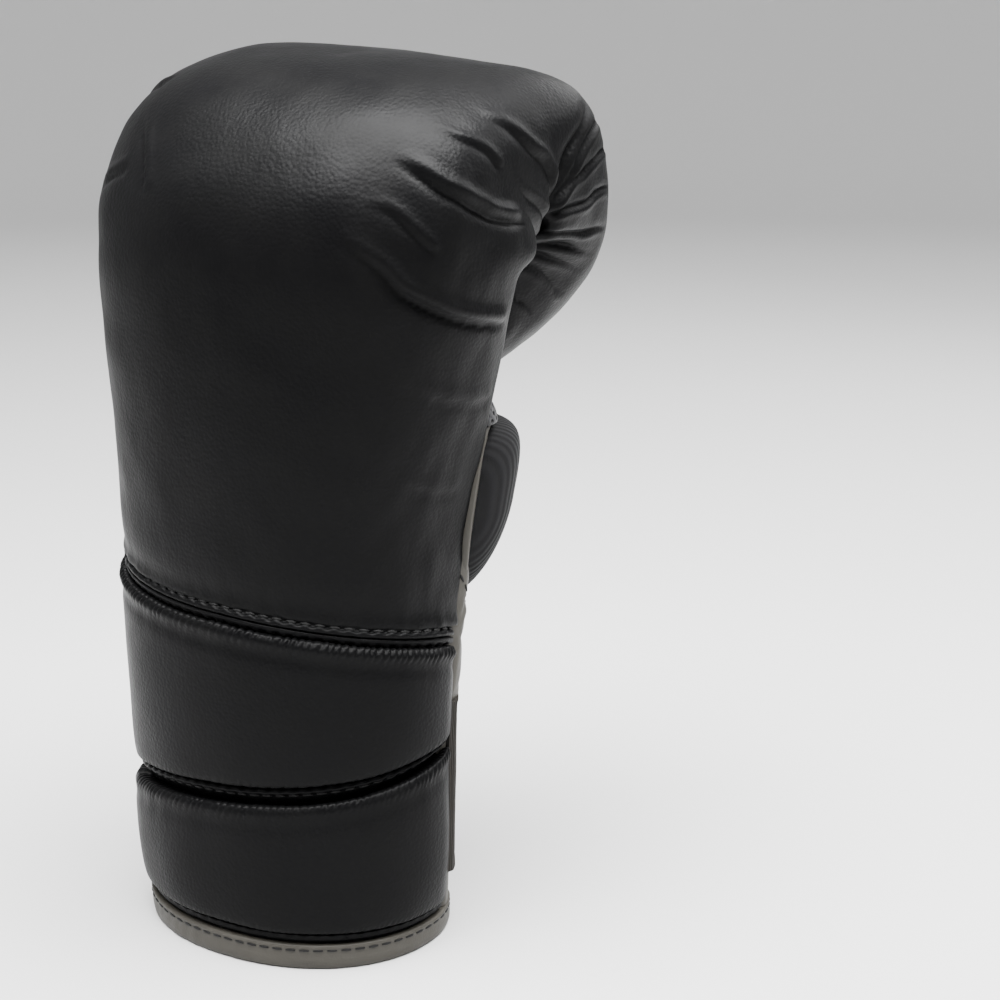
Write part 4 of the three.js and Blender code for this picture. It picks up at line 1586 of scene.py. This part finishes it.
tab_lines = [tab_outline(inset) for inset in TAB_ROWS]
tab_lines += [
    even_points([Vector((x, ROW_END)), Vector((x, TAB["width"] - ROW_END))], 20) for x in END_ROWS
]


def tab_relief(u, v):
    flat = Vector((u * TAB["length"], v * TAB["width"]))
    border = min(flat.y, TAB["width"] - flat.y, TAB["length"] - flat.x, flat.x)
    pressed = sum(hill(border, row, 0.9) for row in TAB_ROWS) + hill(flat.x, END_ROWS[1], 0.9)
    soft = 0.5 * noise.noise(Vector((flat.x / 24, flat.y / 24, 3)))
    crease = 0.25 * noise.noise(Vector((flat.x / 6, flat.y / 9, 7))) * smoothstep(border, 6, 12)
    return 0.5 * smoothstep(border, 7, 14) + soft + crease - 0.25 * pressed


tab_mesh = laid_grid(
    TAB_GRID, lambda u, v: tab_strip(*tab_share(u, v)), lambda u, v: tab_relief(*tab_share(u, v)),
)
tab = finish_piece("leather_tab", tab_mesh, [black_leather], ["strap_tab"])
add_wall(tab, WALL["tab"], rounding=0.9)
declare_sheet(tab, drawn_size(tab_strip))
stitching("stitches_tab", [(tab_strip, tab_row(points), tab_relief) for points in tab_lines])

# %% The loop patch
def patch_place(u, v):
    return skin(lerp(PATCH["from"], PATCH["to"], u), lerp(PATCH["low"], PATCH["high"], v), PATCH["lift"])


patch_mesh = laid_grid(
    PATCH_GRID, patch_place, lambda u, v: 0.12 * noise.noise(Vector((u * 70, v * 90, 0))),
)
patch = finish_piece("loop_fabric", patch_mesh, [loop_pile], ["loop_patch"])
add_wall(patch, WALL["loop"], rounding=0.3)
declare_sheet(patch, drawn_size(patch_place))

# %% [markdown]
# ## Floor and light
# The glove stands on pale paper that bends up far away, so that no edge shows behind it. The
# profile is a few points, and a spin round the upright axis makes the bowl. One large soft
# lamp above the glove gives the wide, even highlight on the knuckles; two
# weak ones draw a thin line of light along the edges.

# %% The floor
FLOOR = {"flat": 2.4, "bend": 1.4, "wall": 1.2, "steps": 12, "turns": 72, "weld": 0.0005}
profile = [Vector((0, 0, 0)), Vector((FLOOR["flat"], 0, 0))]
for step in range(1, FLOOR["steps"] + 1):
    turn = math.pi / 2 * step / FLOOR["steps"]
    profile.append(Vector((
        FLOOR["flat"] + FLOOR["bend"] * math.sin(turn), 0, FLOOR["bend"] * (1 - math.cos(turn)),
    )))
profile.append(profile[-1] + Vector((0, 0, FLOOR["wall"])))
floor_mesh = bmesh.new()
profile_verts = [floor_mesh.verts.new(point) for point in profile]
profile_edges = [floor_mesh.edges.new(pair) for pair in zip(profile_verts, profile_verts[1:])]
bmesh.ops.spin(
    floor_mesh, geom=profile_verts + profile_edges, cent=(0, 0, 0), axis=(0, 0, 1),
    angle=2 * math.pi, steps=FLOOR["turns"], use_merge=True,
)
bmesh.ops.remove_doubles(floor_mesh, verts=floor_mesh.verts, dist=FLOOR["weld"])
bmesh.ops.recalc_face_normals(floor_mesh, faces=floor_mesh.faces)
if sum(face.normal.z for face in floor_mesh.faces) < 0:
    bmesh.ops.reverse_faces(floor_mesh, faces=floor_mesh.faces)

# %% The floor's paper
# Painted shade: the paper is grey near the glove and paler further out, which evens out the pool of light
# from the lamp above, so the floor looks evenly pale.
PAPER_WITH_PAINTED_SHADE = {"grey": "#bcbcbc", "pale": "#f2f2f2", "near": 0.3, "far": 2.0}
floor_finish, floor_surface = new_finish("paper_pale_with_painted_shade")
floor_place = add_node(floor_finish, "ShaderNodeTexCoord").outputs["Object"]
floor_radius = add_node(
    floor_finish, "ShaderNodeVectorMath", {"operation": "LENGTH"}, {0: floor_place},
).outputs["Value"]
painted_shade_fade = add_node(
    floor_finish, "ShaderNodeMapRange", {"interpolation_type": "SMOOTHSTEP"},
    {"Value": floor_radius, "From Min": PAPER_WITH_PAINTED_SHADE["near"], "From Max": PAPER_WITH_PAINTED_SHADE["far"]},
)
paper = add_mix(floor_finish, painted_shade_fade.outputs["Result"], PAPER_WITH_PAINTED_SHADE["grey"], PAPER_WITH_PAINTED_SHADE["pale"])
fill(floor_finish, floor_surface, {"Base Color": paper, "Roughness": 0.9})
smooth_object("floor", floor_mesh, [floor_finish])

# %% The light
WORLD_STRENGTH = 0.38
world = bpy.data.worlds.new("studio")
bpy.context.scene.world = world
world.use_nodes = True
background = world.node_tree.nodes["Background"]
background.inputs["Color"].default_value = (1, 1, 1, 1)
background.inputs["Strength"].default_value = WORLD_STRENGTH


def area_light(name, place, aim, size, power_watts):
    light = bpy.data.lights.new(name, "AREA")
    light.shape = "RECTANGLE"
    light.size, light.size_y = size
    light.energy = power_watts
    lamp = add_object(name, light)
    lamp.location = place
    lamp.rotation_mode = "QUATERNION"
    lamp.rotation_quaternion = (Vector(aim) - Vector(place)).to_track_quat("-Z", "Y")


area_light("overhead", (0.12, -0.1, 0.94), (0.02, 0, 0.22), (1.15, 0.6), 92)
area_light("left_side", (-1.0, -0.5, 0.45), (0, 0, 0.15), (0.5, 1.0), 1.5)
area_light("behind", (0.3, 0.95, 0.75), (0, 0, 0.24), (1.2, 0.4), 7)
